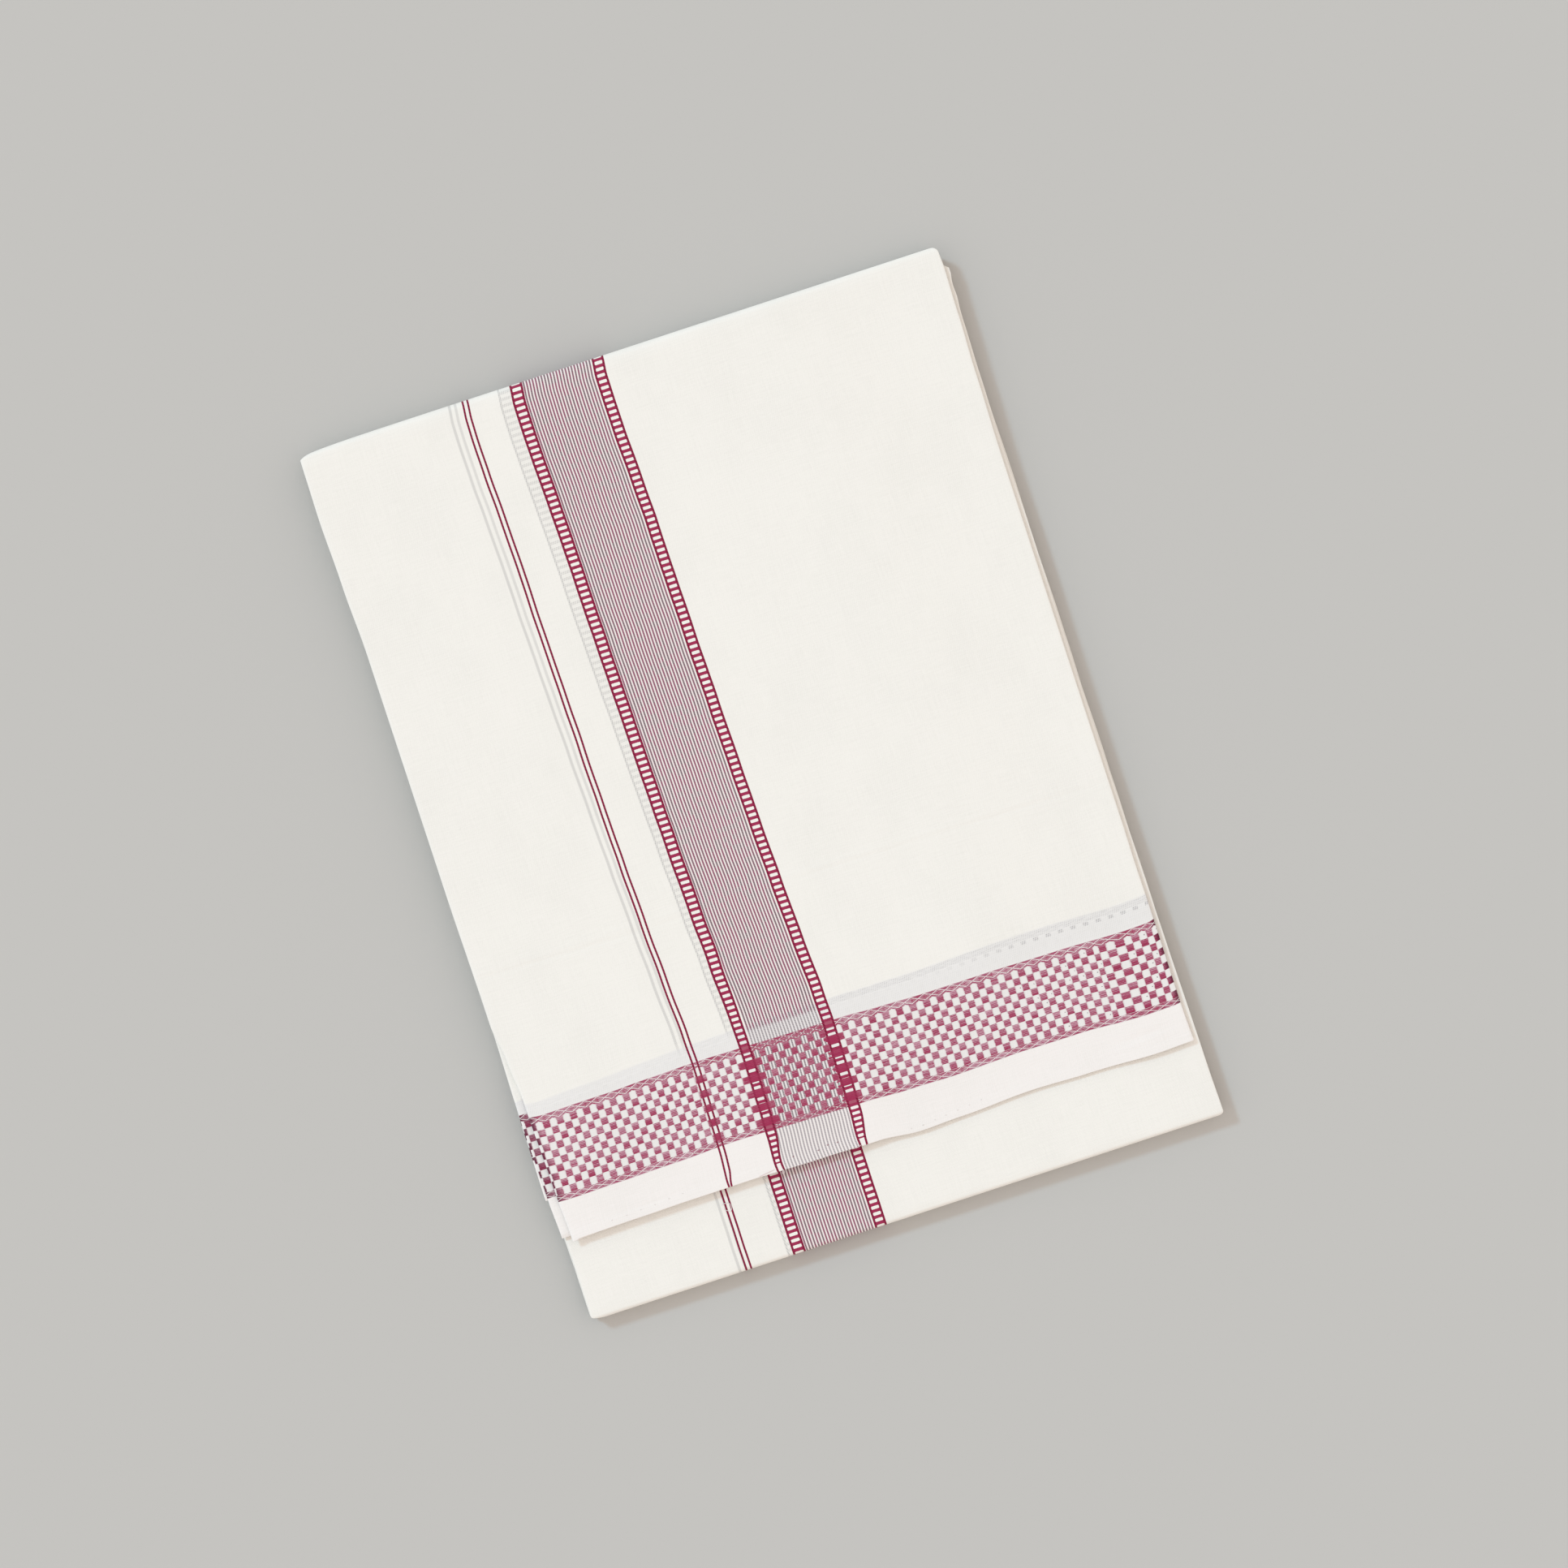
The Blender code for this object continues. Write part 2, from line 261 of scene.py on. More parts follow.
def settled(x, y, z):
    """The height at which a point of the top leaf comes to lie on the lower leaf."""
    base = LEAVES[0][0] + swell(x, y)
    if z <= base:
        return z
    share = blend(along(SETTLED_ACROSS, x, 1), along(SETTLED_AT_HEM, x, 1), along(HEM_SHARE, y, 1))
    return z - (z - base) * share


# ---- the folded sleeves ----


class Section:
    """One cross section of a sleeve, at right angles to the way the cloth runs."""

    def __init__(self, y, z, edges, height, normal=(0, 1), weft=None, shrink=0, form=None):
        self.y = y if callable(y) else (lambda x: y)
        self.z = z
        self.left, self.right = edges
        self.height = height
        self.normal = normal
        self.weft = weft
        self.shrink = shrink
        self.form = form

    def point(self, x, out):
        """A point of the sleeve; out is 1 on the face that the normal leaves and -1 on the other."""
        y = self.y(x)
        offset = out * (self.height / 2 - self.shrink)
        z = self.z + self.normal[1] * offset
        if self.form:
            z += self.form(x, y) * (1 + out * self.normal[1]) / 2
        return x, y + self.normal[0] * offset, settled(x, y, z)

    def flipped(self):
        """The same section, for a sleeve that runs the other way."""
        section = copy(self)
        section.normal = (-self.normal[0], -self.normal[1])
        return section

    def ring(self, outer, inner):
        """Places round the section as (x, out): the outer face from its left end, then the inner one."""
        start = self.left + self.shrink + EDGE_DEPTH
        end = self.right - self.shrink - EDGE_DEPTH
        turns = [pi * step / EDGE_STEPS for step in range(1, EDGE_STEPS)]
        places = [(blend(start, end, share), 1) for share in outer]
        places += [(end + EDGE_DEPTH * sin(turn), cos(turn)) for turn in turns]
        places += [(blend(end, start, share), -1) for share in inner]
        places += [(start - EDGE_DEPTH * sin(turn), -cos(turn)) for turn in turns]
        return places


def even(count):
    return [step / count for step in range(count + 1)]


def pair_level(leaf, slot):
    """The height of the middle of a pair of plies in a leaf, slot 0 being the uppermost."""
    bottom, top = LEAVES[leaf]
    return top - (top - bottom) * (slot + 0.5) / PAIRS


def pair_height(leaf):
    bottom, top = LEAVES[leaf]
    return (top - bottom) / PAIRS - BREATHING


def slot_of(pair, leaf):
    """Each fold turns the pairs' order over."""
    return pair if leaf % 2 == 0 else PAIRS - 1 - pair


def fold_centre(fold):
    """Where the flat part ends, at +Y for folds 0 and 2 and at -Y for folds 1 and 3."""
    side = 1 if fold % 2 == 0 else -1
    radius = (LEAVES[fold][1] - LEAVES[fold + 1][0]) / 2
    return side * (HALF_LENGTH - FOLD_INSETS[fold] - radius * FOLD_DEPTH)


def last_centre():
    """Where the lowest leaf ends, in the cloth's own half-length fold."""
    bottom, top = LEAVES[-1]
    return HALF_LENGTH - LAST_FOLD_INSET - (top - bottom) / 2 * FOLD_DEPTH


TOP_LEAF_EDGES = (FLAP_EDGES, INNER_PLY_EDGES, SECOND_PLY_EDGES, THIRD_PLY_EDGES)


def pair_edges(leaf, pair, y):
    """Left and right edges of one pair of plies in one leaf."""
    if leaf == 0:
        table = TOP_LEAF_EDGES[pair]
        return along(table, y, 1), along(table, y, 2)
    slot = slot_of(pair, leaf)
    seed = leaf * PAIRS + slot
    if leaf == 1:
        left, right = along(LOWER_LEAF_EDGES, y, 1), along(LOWER_LEAF_EDGES, y, 2)
    else:
        left_inset, right_inset = HIDDEN_INSETS[leaf - 2]
        left = -HALF_WIDTH + left_inset + STACK_LEAN * (HALF_LENGTH - y) / (2 * HALF_LENGTH)
        run_in = min(1, max(0, (y - TOP_INSET_START) / TOP_INSET_RUN))
        right = HALF_WIDTH - right_inset - TOP_INSET * run_in
    if leaf == 1 and slot == 0:
        return left, right
    left_step, right_step = SLOT_STEPS[seed]
    length = EDGE_WAVE + EDGE_WAVE_STEP * (seed % EDGE_WAVE_KINDS)
    bend = sin(2 * pi * y / length + EDGE_WAVE_TURN * seed)
    left += left_step + EDGE_WOBBLE * (1 + bend)
    right -= right_step + EDGE_WOBBLE * (1 - bend)
    return left, right


def slot_steps():
    """How far each hidden pair's left and right edges lie inside its leaf's outline."""
    draw = random.Random(SLOT_SEED)
    count = len(LEAVES) * PAIRS
    return [(draw.uniform(0, SLOT_SPREAD), draw.uniform(0, SLOT_SPREAD)) for _ in range(count)]


SLOT_STEPS = slot_steps()


def flat_leg(leaf, pair, start, end, form=None):
    """A straight stretch of a pair in a leaf, from one place along the cloth to another."""
    slot = slot_of(pair, leaf)
    spacing = ROW_SPACING if leaf < VISIBLE_LEAVES else HIDDEN_ROW_SPACING
    count = max(1, round(abs(end - start) / spacing))
    normal = (0, 1 if leaf % 2 == 0 else -1)
    leg = []
    for share in even(count):
        y = blend(start, end, share)
        edges = pair_edges(leaf, pair, y)
        leg.append(Section(y, pair_level(leaf, slot), edges, pair_height(leaf), normal, form=form))
    return leg


def turned(centre, above, below, heights, edges_above, edges_below, corners, slack=0.0):
    """Half-round sections from one level down to another, squeezed and drawn in at their corners.

    Slack is the share of a fold's depth that is missing at its left end.
    """
    side = 1 if centre > 0 else -1
    radius = (above - below) / 2
    leg = []
    for share in even(FOLD_STEPS)[1:-1]:
        angle = pi * share
        drawn_in = sin(angle) ** 3
        left = blend(edges_above[0], edges_below[0], share) + corners[0] * drawn_in
        right = blend(edges_above[1], edges_below[1], share) - corners[1] * drawn_in
        deep = side * sin(angle) * radius * FOLD_DEPTH
        z = (above + below) / 2 + cos(angle) * radius
        out, up = sin(angle), side * cos(angle) * FOLD_DEPTH
        normal = (out / hypot(out, up), up / hypot(out, up))

        def y(x, deep=deep):
            return centre + deep * (1 - slack * exp((edges_above[0] - x) / SLACK_REACH))

        leg.append(Section(y, z, (left, right), blend(*heights, share), normal))
    return leg


def fold_leg(fold, pair):
    """A pair on its way round a fold, from the leaf above down to the next."""
    centre = fold_centre(fold)
    levels = [pair_level(leaf, slot_of(pair, leaf)) for leaf in (fold, fold + 1)]
    heights = [pair_height(leaf) for leaf in (fold, fold + 1)]
    edges = [pair_edges(leaf, pair, centre) for leaf in (fold, fold + 1)]
    return turned(centre, *levels, heights, *edges, FOLD_CORNERS[fold], FOLD_SLACK[fold])


# How far a turned sleeve draws in at the left and right ends of each fold.
FOLD_CORNERS = ((2.4, 1.2), (4.6, 1.0), (1.6, 1.6), (1.8, 1.4))
LAST_CORNERS = (1.2, 1.2)
# How much of each fold's depth is missing at its left end, and how far along the fold that reaches.
FOLD_SLACK = (0.55, 0.0, 0.3, 0.0)
SLACK_REACH = 8.5


def pair_legs(pair, free_end, first_leg=None):
    """A pair of plies from its free end to the lowest leaf: leaf, fold, leaf and so on."""
    legs = [first_leg or flat_leg(0, pair, free_end, fold_centre(0))]
    last_fold = len(FOLD_INSETS) - 1
    for fold in range(last_fold + 1):
        legs.append(fold_leg(fold, pair))
        end = fold_centre(fold + 1) if fold < last_fold else last_centre()
        # The sleeve that shows on the lower leaf swells with the stack.
        form = swell if (fold, pair) == (0, PAIRS - 1) else None
        legs.append(flat_leg(fold + 1, pair, fold_centre(fold), end, form))
    return legs


def joined(legs, first, last):
    """The sections of some legs, of which the even ones lie in the leaves and the odd ones are folds.

    A fold at either end also takes the nearest section of the leaf beyond it.
    """
    sections = [legs[first - 1][-1]] if first % 2 else []
    for leg in legs[first : last + 1]:
        sections += leg
    if last % 2:
        sections.append(legs[last + 1][0])
    return sections


def run_of(sections):
    """The length of cloth along some sections."""
    places = [(section.y(0), section.z) for section in sections]
    return sum(hypot(b[0] - a[0], b[1] - a[1]) for a, b in zip(places, places[1:]))


def measured(sections, weft):
    """Gives sections without a place on the weave their own, by the length of cloth before them."""
    before = None
    for section in sections:
        place = (section.y(0), section.z)
        if section.weft is not None:
            weft = section.weft
        elif before:
            weft += hypot(place[0] - before[0], place[1] - before[1])
        section.weft = weft
        before = place
    return sections


def lip(section, wall):
    """Sections that turn a free end in on itself, so that it shows a cloth's thickness."""
    radius = wall / 2

    def turned_in(back, shrink):
        smaller = copy(section)
        smaller.y = lambda x: section.y(x) + back
        smaller.shrink = shrink
        return smaller

    angles = [pi * (1 - step / LIP_STEPS) for step in range(LIP_STEPS)]
    inside = [turned_in(LIP_REACH, wall)]
    return inside + [turned_in(radius - radius * sin(a), radius * (1 - cos(a))) for a in angles]


def ring_chart(outer, inner, shown):
    """Where a ring's points lie across the texture map, on which the face that shows has most room."""
    turns = [step / EDGE_STEPS for step in range(1, EDGE_STEPS)]
    spans = MAP_SPANS if shown > 0 else MAP_SPANS[::-1]
    places, start = [], 0
    for shares, span in ((outer, spans[0]), (turns, EDGE_SPAN), (inner, spans[1]), (turns, EDGE_SPAN)):
        places += [start + span * share for share in shares]
        start += span
    return places + [start]


def placed(name, data):
    """A new object in the scene."""
    item = bpy.data.objects.new(name, data)
    bpy.context.scene.collection.objects.link(item)
    return item


def piece_of(name, mesh, material):
    """A smooth piece of the part, which rides its one body."""
    mesh.shade_smooth()
    mesh.materials.append(material)
    piece = placed(name, mesh)
    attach(piece, "root")
    return piece


class Cloth:
    """A mesh made of sleeves, with its place on the weave at each point."""

    def __init__(self):
        self.points = []
        self.map = []
        self.weave = []
        self.rungs = []
        # Painted shade at each point's folded side edge, partly the fold's crowded threads: 1 at the edge.
        self.edges = []
        self.faces = []
        self.widths = []
        self.lengths = []

    def add(self, sections, outer, inner, ladder_place, chart=((0, 0), (1, 1)), shown=1):
        """Adds an open-ended sleeve, with the table of where the left ladder's left side lies across."""
        across_map = ring_chart(outer, inner, shown)
        run = run_of(sections)
        along_map = [straight_along(chart, run_of(sections[: n + 1]) / run) for n in range(len(sections))]
        self.widths.append(sections[-1].right - sections[-1].left)
        self.lengths.append(run_of(sections))
        rings = [section.ring(outer, inner) for section in sections]
        width = len(rings[0])
        base = len(self.points)
        for section, places in zip(sections, rings):
            for place, out in places:
                x, y, z = section.point(place, out)
                across = x - along(ladder_place, y, 1)
                self.points.append((x * MM, y * MM, z * MM))
                self.rungs.append(straight_along(RUNGS, section.weft))
                # Painted shade, partly the fold's crowded threads: how near a point lies to its sleeve's
                # folded side edge.
                inward = min(x - section.left, section.right - x)
                self.edges.append(1 - min(1, max(0, inward - EDGE_DEPTH / 2) / FOLD_SHADE))
                self.weave.append((across, section.weft, straight_along(CHECK_COLUMNS, across)))
        for row in range(len(sections) - 1):
            low = base + row * width
            high = low + width
            for column in range(width):
                after = (column + 1) % width
                self.faces.append((low + column, low + after, high + after, high + column))
                u0, u1 = across_map[column : column + 2]
                v0, v1 = along_map[row : row + 2]
                self.map += [u0, v0, u1, v0, u1, v1, u0, v1]

    def finish(self, name, material, replaced=()):
        """Makes the object, which rides the root body, and hides the CAD parts that it replaces."""
        mesh = bpy.data.meshes.new(name)
        mesh.from_pydata(self.points, [], self.faces)
        layer = mesh.uv_layers.new(name="OFBake")
        layer.uv.foreach_set("vector", np.array(self.map, np.float32))
        weave = mesh.attributes.new("weave", "FLOAT_VECTOR", "POINT")
        weave.data.foreach_set("vector", np.array(self.weave, np.float32).ravel())
        # The rungs, and the painted shade at the folded side edges, partly their crowded threads.
        for kind, values in (("rung", self.rungs), ("edge", self.edges)):
            attribute = mesh.attributes.new(kind, "FLOAT", "POINT")
            attribute.data.foreach_set("value", np.array(values, np.float32))
        piece = piece_of(name, mesh, material)
        if replaced:
            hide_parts(*replaced)
        return piece


def flap_line(x, weft):
    """The place along the flap of a weft thread, which follows the hem and the band."""
    head, foot, end = (along(CROSS_LINES, x, column) for column in (1, 2, 3))
    if weft < BAND_FOOT:
        return blend(end, foot, weft / BAND_FOOT)
    if weft < BAND_HEAD:
        return blend(foot, head, (weft - BAND_FOOT) / (BAND_HEAD - BAND_FOOT))
    return blend(head, fold_centre(0), (weft - BAND_HEAD) / (FLAP_FLAT - BAND_HEAD))


# The weave's length from the flap's end to where the top fold starts.
FLAP_FLAT = BAND_HEAD - BAND_HEAD_PLACE + fold_centre(0)
BAND_MIDDLE = -118.0


def flap_section(weft, shrink=0):
    """A section of the flap along one weft thread."""

    def y(x):
        return flap_line(x, weft)

    edges = pair_edges(0, 0, y(0))
    return Section(y, pair_level(0, 0), edges, pair_height(0), weft=weft, shrink=shrink, form=relief)


def flap_columns():
    """Where the flap's columns lie, as shares of its width: one at each step of the check columns."""
    left, right = pair_edges(0, 0, BAND_MIDDLE)
    start, end = left + EDGE_DEPTH, right - EDGE_DEPTH
    origin = along(LADDER_PLACE, BAND_MIDDLE, 1)
    steps = [origin + row[0] for row in CHECK_COLUMNS]
    stops = [start] + [x for x in steps if start + 1 < x < end - 1] + [end]
    places = spaced([(left, right, COLUMN_SPACING) for left, right in zip(stops, stops[1:])])
    return [(place - start) / (end - start) for place in places[:-1]] + [1]


def spaced(stretches):
    """Places from each stretch's start to its end, at about the spacing that it asks for."""
    places = []
    for start, end, spacing in stretches:
        count = max(1, round((end - start) / spacing))
        places += [blend(start, end, n / count) for n in range(count)]
    return places + [stretches[-1][1]]


# Rows of the hem's cuff, up from its edge. It laps over the flap and is tucked in at its seam.
HEM_ROWS = (0.25, 0.6, 1.2, 2.0, 2.8, 3.5, 4.0, HEM_DEPTH - 0.1)
HEM_LAP = 0.1
HEM_TUCK = 0.05


def make_hem(material):
    """The flap's turned hem: a cuff round the end of its sleeve, a little proud of the cloth."""
    hem = Cloth()
    sections = lip(flap_section(0, 0), HEM_WALL)
    for section in sections:
        section.shrink -= HEM_RISE
        section.weft = 0
    sections += [flap_section(depth, -HEM_RISE * (1 - (depth / HEM_DEPTH) ** 3)) for depth in HEM_ROWS]
    sections.append(flap_section(HEM_DEPTH + HEM_LAP, HEM_TUCK))
    hem.add(sections, flap_columns(), even(COARSE_COLUMNS), LADDER_PLACE)
    return hem.finish("hem_cloth", material, ["end_hem"])


def make_flap(legs, material):
    """The top leaf's uppermost sleeve, from the hem round the top fold and down into the stack."""
    flap = Cloth()
    sections = measured(joined(legs, 0, 2), 0)
    seen = run_of(legs[0]) / run_of(sections)
    chart = ((0, 0), (seen, SEEN_SHARE), (1, 1))
    flap.add(sections, flap_columns(), even(COARSE_COLUMNS), LADDER_PLACE, chart)
    piece = flap.finish("flap_cloth", material, ["top_flap"])


def flap_leg():
    """The flat stretch of the flap, from just under the hem's turned edge to the top fold."""
    return [flap_section(weft) for weft in spaced(FLAP_ROWS) + [FLAP_FLAT]]


def make_ply(name, legs, last, weft, material, replaced):
    """An inner sleeve of the top leaf, with its own free end."""
    ply = Cloth()
    sections = lip(legs[0][0], PLY) + joined(legs, 0, last)[1:]
    for section in sections[: LIP_STEPS + 1]:
        section.weft = weft
    sections = measured(sections, weft)
    ply.add(sections, even(FINE_COLUMNS), even(COARSE_COLUMNS), PLY_LADDER_PLACE)
    piece = ply.finish(name, material, replaced)


# ---- sewing and loose ends ----

# Rows of the hem's stitches that show: first place across and along the weave, last, and how many.
STITCH_ROWS = ((-112.7, 2.6, -81.9, 3.9, 6), (14.2, 1.8, 44.9, 3.6, 7))
STITCH_LENGTH = 0.6
STITCH_RADIUS = 0.12
# How each stitch differs: its place, its length's share, its lean, and its lift in thread radii.
STITCH_SEED = 5
STITCH_STRAY = (-0.2, 0.2)
STITCH_STRETCH = (0.7, 1.2)
STITCH_LEAN = (-0.12, 0.12)
STITCH_LIFT = (-0.6, 0.5)
# How thin a thread is at its ends, as a share of its thickness.
STITCH_TAPER = 0.4
LOOSE_TAPER = 0.5
# Loose ends, as places on the work (x, y) and their height above the cloth there.
CURLED_END = (
    (-40.55, -149.4, 0.05), (-40.35, -150.9, 0.10), (-40.05, -151.9, 0.25), (-40.25, -152.7, 0.10),
    (-40.75, -152.9, -0.25), (-41.05, -152.4, -0.20), (-40.85, -151.95, 0.15),
    (-40.45, -152.1, 0.20),
)
HEM_THREAD = ((-9.6, -152.15, 0.02), (-8.3, -152.0, 0.14), (-6.9, -151.5, 0.05))
LEFT_HEM_THREAD = ((-50.2, -150.9, 0.02), (-47.0, -150.5, 0.08), (-43.6, -150.1, 0.04))
# A white yarn end that lies in a bow across the lower leaf's double line.
BOW = (
    (-68.6, -157.35, 0.02), (-67.9, -157.15, 0.22), (-67.0, -157.1, 0.10), (-65.9, -157.25, 0.20),
    (-65.1, -158.3, 0.16), (-65.2, -159.9, 0.16), (-65.8, -160.7, 0.22), (-66.8, -160.4, 0.08),
    (-68.0, -159.4, 0.20), (-68.5, -158.9, 0.02),
)
LOOSE_RADIUS = 0.11
# The mesh of a thread: its sides, and its steps from each point of its path to the next.
THREAD_SIDES = 7
THREAD_STEPS = 6


def smooth_path(points):
    """A smooth line through some points, by the formula of Catmull and Rom."""
    path = []
    last = len(points) - 1
    for n in range(last):
        before, start, end, after = (Vector(points[min(max(k, 0), last)]) for k in range(n - 1, n + 3))
        for step in range(THREAD_STEPS):
            t = step / THREAD_STEPS
            path.append(
                0.5 * (2 * start + (end - before) * t)
                + 0.5 * (2 * before - 5 * start + 4 * end - after) * t**2
                + 0.5 * (3 * start - before - 3 * end + after) * t**3
            )
    return path + [Vector(points[-1])]


def thread_mesh(paths, radius, ends):
    """Round threads along some paths, with the thread's thickness at its ends as a share."""
    points, faces = [], []
    for path in paths:
        base = len(points)
        for n, place in enumerate(path):
            way = (path[min(n + 1, len(path) - 1)] - path[max(n - 1, 0)]).normalized()
            side = way.cross(Vector((0, 0, 1))).normalized()
            up = side.cross(way)
            size = radius * (ends if n in (0, len(path) - 1) else 1)
            for turn in range(THREAD_SIDES):
                angle = 2 * pi * turn / THREAD_SIDES
                points.append((place + (side * cos(angle) + up * sin(angle)) * size) * MM)
        for n in range(len(path) - 1):
            low = base + n * THREAD_SIDES
            for turn in range(THREAD_SIDES):
                after = (turn + 1) % THREAD_SIDES
                quad = (low + turn, low + after, low + THREAD_SIDES + after, low + THREAD_SIDES + turn)
                faces.append(quad)
        faces.append(tuple(range(base, base + THREAD_SIDES)))
        last = base + (len(path) - 1) * THREAD_SIDES
        faces.append(tuple(last + turn for turn in reversed(range(THREAD_SIDES))))
    return points, faces


def flap_top(x, y):
    """The height of the flap's upper face."""
    return settled(x, y, pair_level(0, 0) + pair_height(0) / 2 + relief(x, y))


def sewn_piece(name, paths, radius, ends, material):
    points, faces = thread_mesh(paths, radius, ends)
    mesh = bpy.data.meshes.new(name)
    mesh.from_pydata(points, [], faces)
    return piece_of(name, mesh, material)


def make_stitches(material):
    """The hem's hand stitches: each comes up for a moment and goes down again."""
    draw = random.Random(STITCH_SEED)
    paths = []
    for x0, weft0, x1, weft1, count in STITCH_ROWS:
        for n in range(count):
            share = n / (count - 1)
            x = blend(x0, x1, share) + draw.uniform(*STITCH_STRAY)
            y = flap_line(x, blend(weft0, weft1, share)) + draw.uniform(*STITCH_STRAY)
            half = STITCH_LENGTH / 2 * draw.uniform(*STITCH_STRETCH)
            lean = draw.uniform(*STITCH_LEAN)
            top = flap_top(x, y) + HEM_RISE
            middle = (x, y, top + draw.uniform(*STITCH_LIFT) * STITCH_RADIUS)
            low = top - STITCH_RADIUS
            paths.append(smooth_path([(x - half, y - lean, low), middle, (x + half, y + lean, low)]))
    return sewn_piece("hem_stitches", paths, STITCH_RADIUS, STITCH_TAPER, material)


def make_loose_ends(material):
    """Yarn ends that hang out of the hem."""
    paths = []
    for route in (CURLED_END, HEM_THREAD, LEFT_HEM_THREAD):
        paths.append(smooth_path([(x, y, flap_top(x, y) + HEM_RISE + lift) for x, y, lift in route]))
    return sewn_piece("loose_ends", paths, LOOSE_RADIUS, LOOSE_TAPER, material)


def make_bow(material):
    """The yarn end on the lower leaf."""
    level = pair_level(1, 0) + pair_height(1) / 2
    path = smooth_path([(x, y, level + swell(x, y) + lift) for x, y, lift in BOW])
    return sewn_piece("lower_leaf_yarn", [path], LOOSE_RADIUS, LOOSE_TAPER, material)


# ---- materials ----


def new_material(name, roughness, sheen):
    """A Principled material and its shader node."""
    material = bpy.data.materials.new(name)
    material.use_nodes = True
    shader = material.node_tree.nodes["Principled BSDF"]
    shader.inputs["Roughness"].default_value = roughness
    shader.inputs["Sheen Weight"].default_value = sheen
    return material, shader


def plain_material(name, colour, roughness, sheen=0.0):
    material, shader = new_material(name, roughness, sheen)
    shader.inputs["Base Color"].default_value = colour
    return material


def cotton_thread(name, colour):
    return plain_material(name, colour, roughness=0.8, sheen=0.1)


# ---- shader arithmetic ----


def operator(operation, swapped=False):
    """One of Python's operators on numbers, as a Math node."""

    def apply(left, right):
        return worked_out(operation, right, left) if swapped else worked_out(operation, left, right)

    return apply


class Number:
    """A number that shader nodes work out: arithmetic on it adds nodes to its tree."""

    def __init__(self, socket):
        self.socket = socket

    __add__ = operator("ADD")
    __radd__ = operator("ADD", swapped=True)
    __sub__ = operator("SUBTRACT")
    __rsub__ = operator("SUBTRACT", swapped=True)
    __mul__ = operator("MULTIPLY")
    __truediv__ = operator("DIVIDE")
    __mod__ = operator("FLOORED_MODULO")
    __pow__ = operator("POWER")

    def __abs__(self):
        return worked_out("ABSOLUTE", self)


def fill(sockets, terms):
    """Puts each term on its socket: a number from other nodes as a link, any other as a value."""
    for socket, term in zip(sockets, terms):
        if isinstance(term, Number):
            socket.id_data.links.new(term.socket, socket)
        else:
            socket.default_value = term


def added(kind, *terms):
    """A new node with these terms on its first sockets; at least one comes from other nodes."""
    tree = next(term.socket.id_data for term in terms if isinstance(term, Number))
    node = tree.nodes.new(kind)
    fill(node.inputs, terms)
    return node


def worked_out(operation, *terms):
    node = added("ShaderNodeMath", *terms)
    node.operation = operation
    return Number(node.outputs[0])


def whole(number):
    return worked_out("FLOOR", number)


def part(number):
    return worked_out("FRACT", number)


def wave(number, length):
    """A sine of this wavelength, from -1 to 1."""
    return worked_out("SINE", number * (2 * pi / length))


def most(*numbers):
    """The largest of some numbers."""
    largest = numbers[0]
    for number in numbers[1:]:
        largest = worked_out("MAXIMUM", largest, number)
    return largest


def rise(number, start, end):
    """0 below start, 1 above end and a smooth step between; it falls where start is above end."""
    falling = start > end
    node = added("ShaderNodeMapRange", number)
    node.interpolation_type = "SMOOTHSTEP"
    node.inputs["From Min"].default_value = min(start, end)
    node.inputs["From Max"].default_value = max(start, end)
    node.inputs["To Min"].default_value = 1 if falling else 0
    node.inputs["To Max"].default_value = 0 if falling else 1
    return Number(node.outputs["Result"])


# How soft a stripe's edge is, in millimetres.
SOFT = 0.12


def near(number, middle, reach, soft=SOFT):
    """1 within reach of the middle and 0 outside it, over a soft edge."""
    return rise(abs(number - middle), reach + soft / 2, reach - soft / 2)


def between(number, low, high, soft=SOFT):
    return near(number, (low + high) / 2, (high - low) / 2, soft)


def vector(*places):
    return Number(added("ShaderNodeCombineXYZ", *places).outputs[0])


def noise(place, detail=0.0):
    """Smooth noise about one unit across, from -1 to 1 or so."""
    node = added("ShaderNodeTexNoise", place)
    node.inputs["Scale"].default_value = 1
    node.inputs["Detail"].default_value = detail
    return Number(node.outputs[0]) * 3 - 1.5


def chance(*places):
    """A random number from 0 to 1 for each set of places."""
    node = added("ShaderNodeTexWhiteNoise", vector(*places))
    node.noise_dimensions = "3D"
    return Number(node.outputs["Value"])


def colour_of(red, green, blue):
    """A linear colour from the 0 to 255 one of a screen."""
    return tuple(linear(level / 255) for level in (red, green, blue)) + (1,)


def linear(level):
    """The linear level of a screen's one, by the sRGB standard."""
    if level <= 0.04045:
        return level / 12.92
    return ((level + 0.055) / 1.055) ** 2.4


def mixed(share, first, second):
    """A blend of two colours, each a tuple or a colour that nodes work out."""
    node = added("ShaderNodeMix", share)
    node.data_type = "RGBA"
    fill([socket for socket in node.inputs if socket.type == "RGBA"], (first, second))
    return Number(next(socket for socket in node.outputs if socket.type == "RGBA"))


# ---- the weave ----

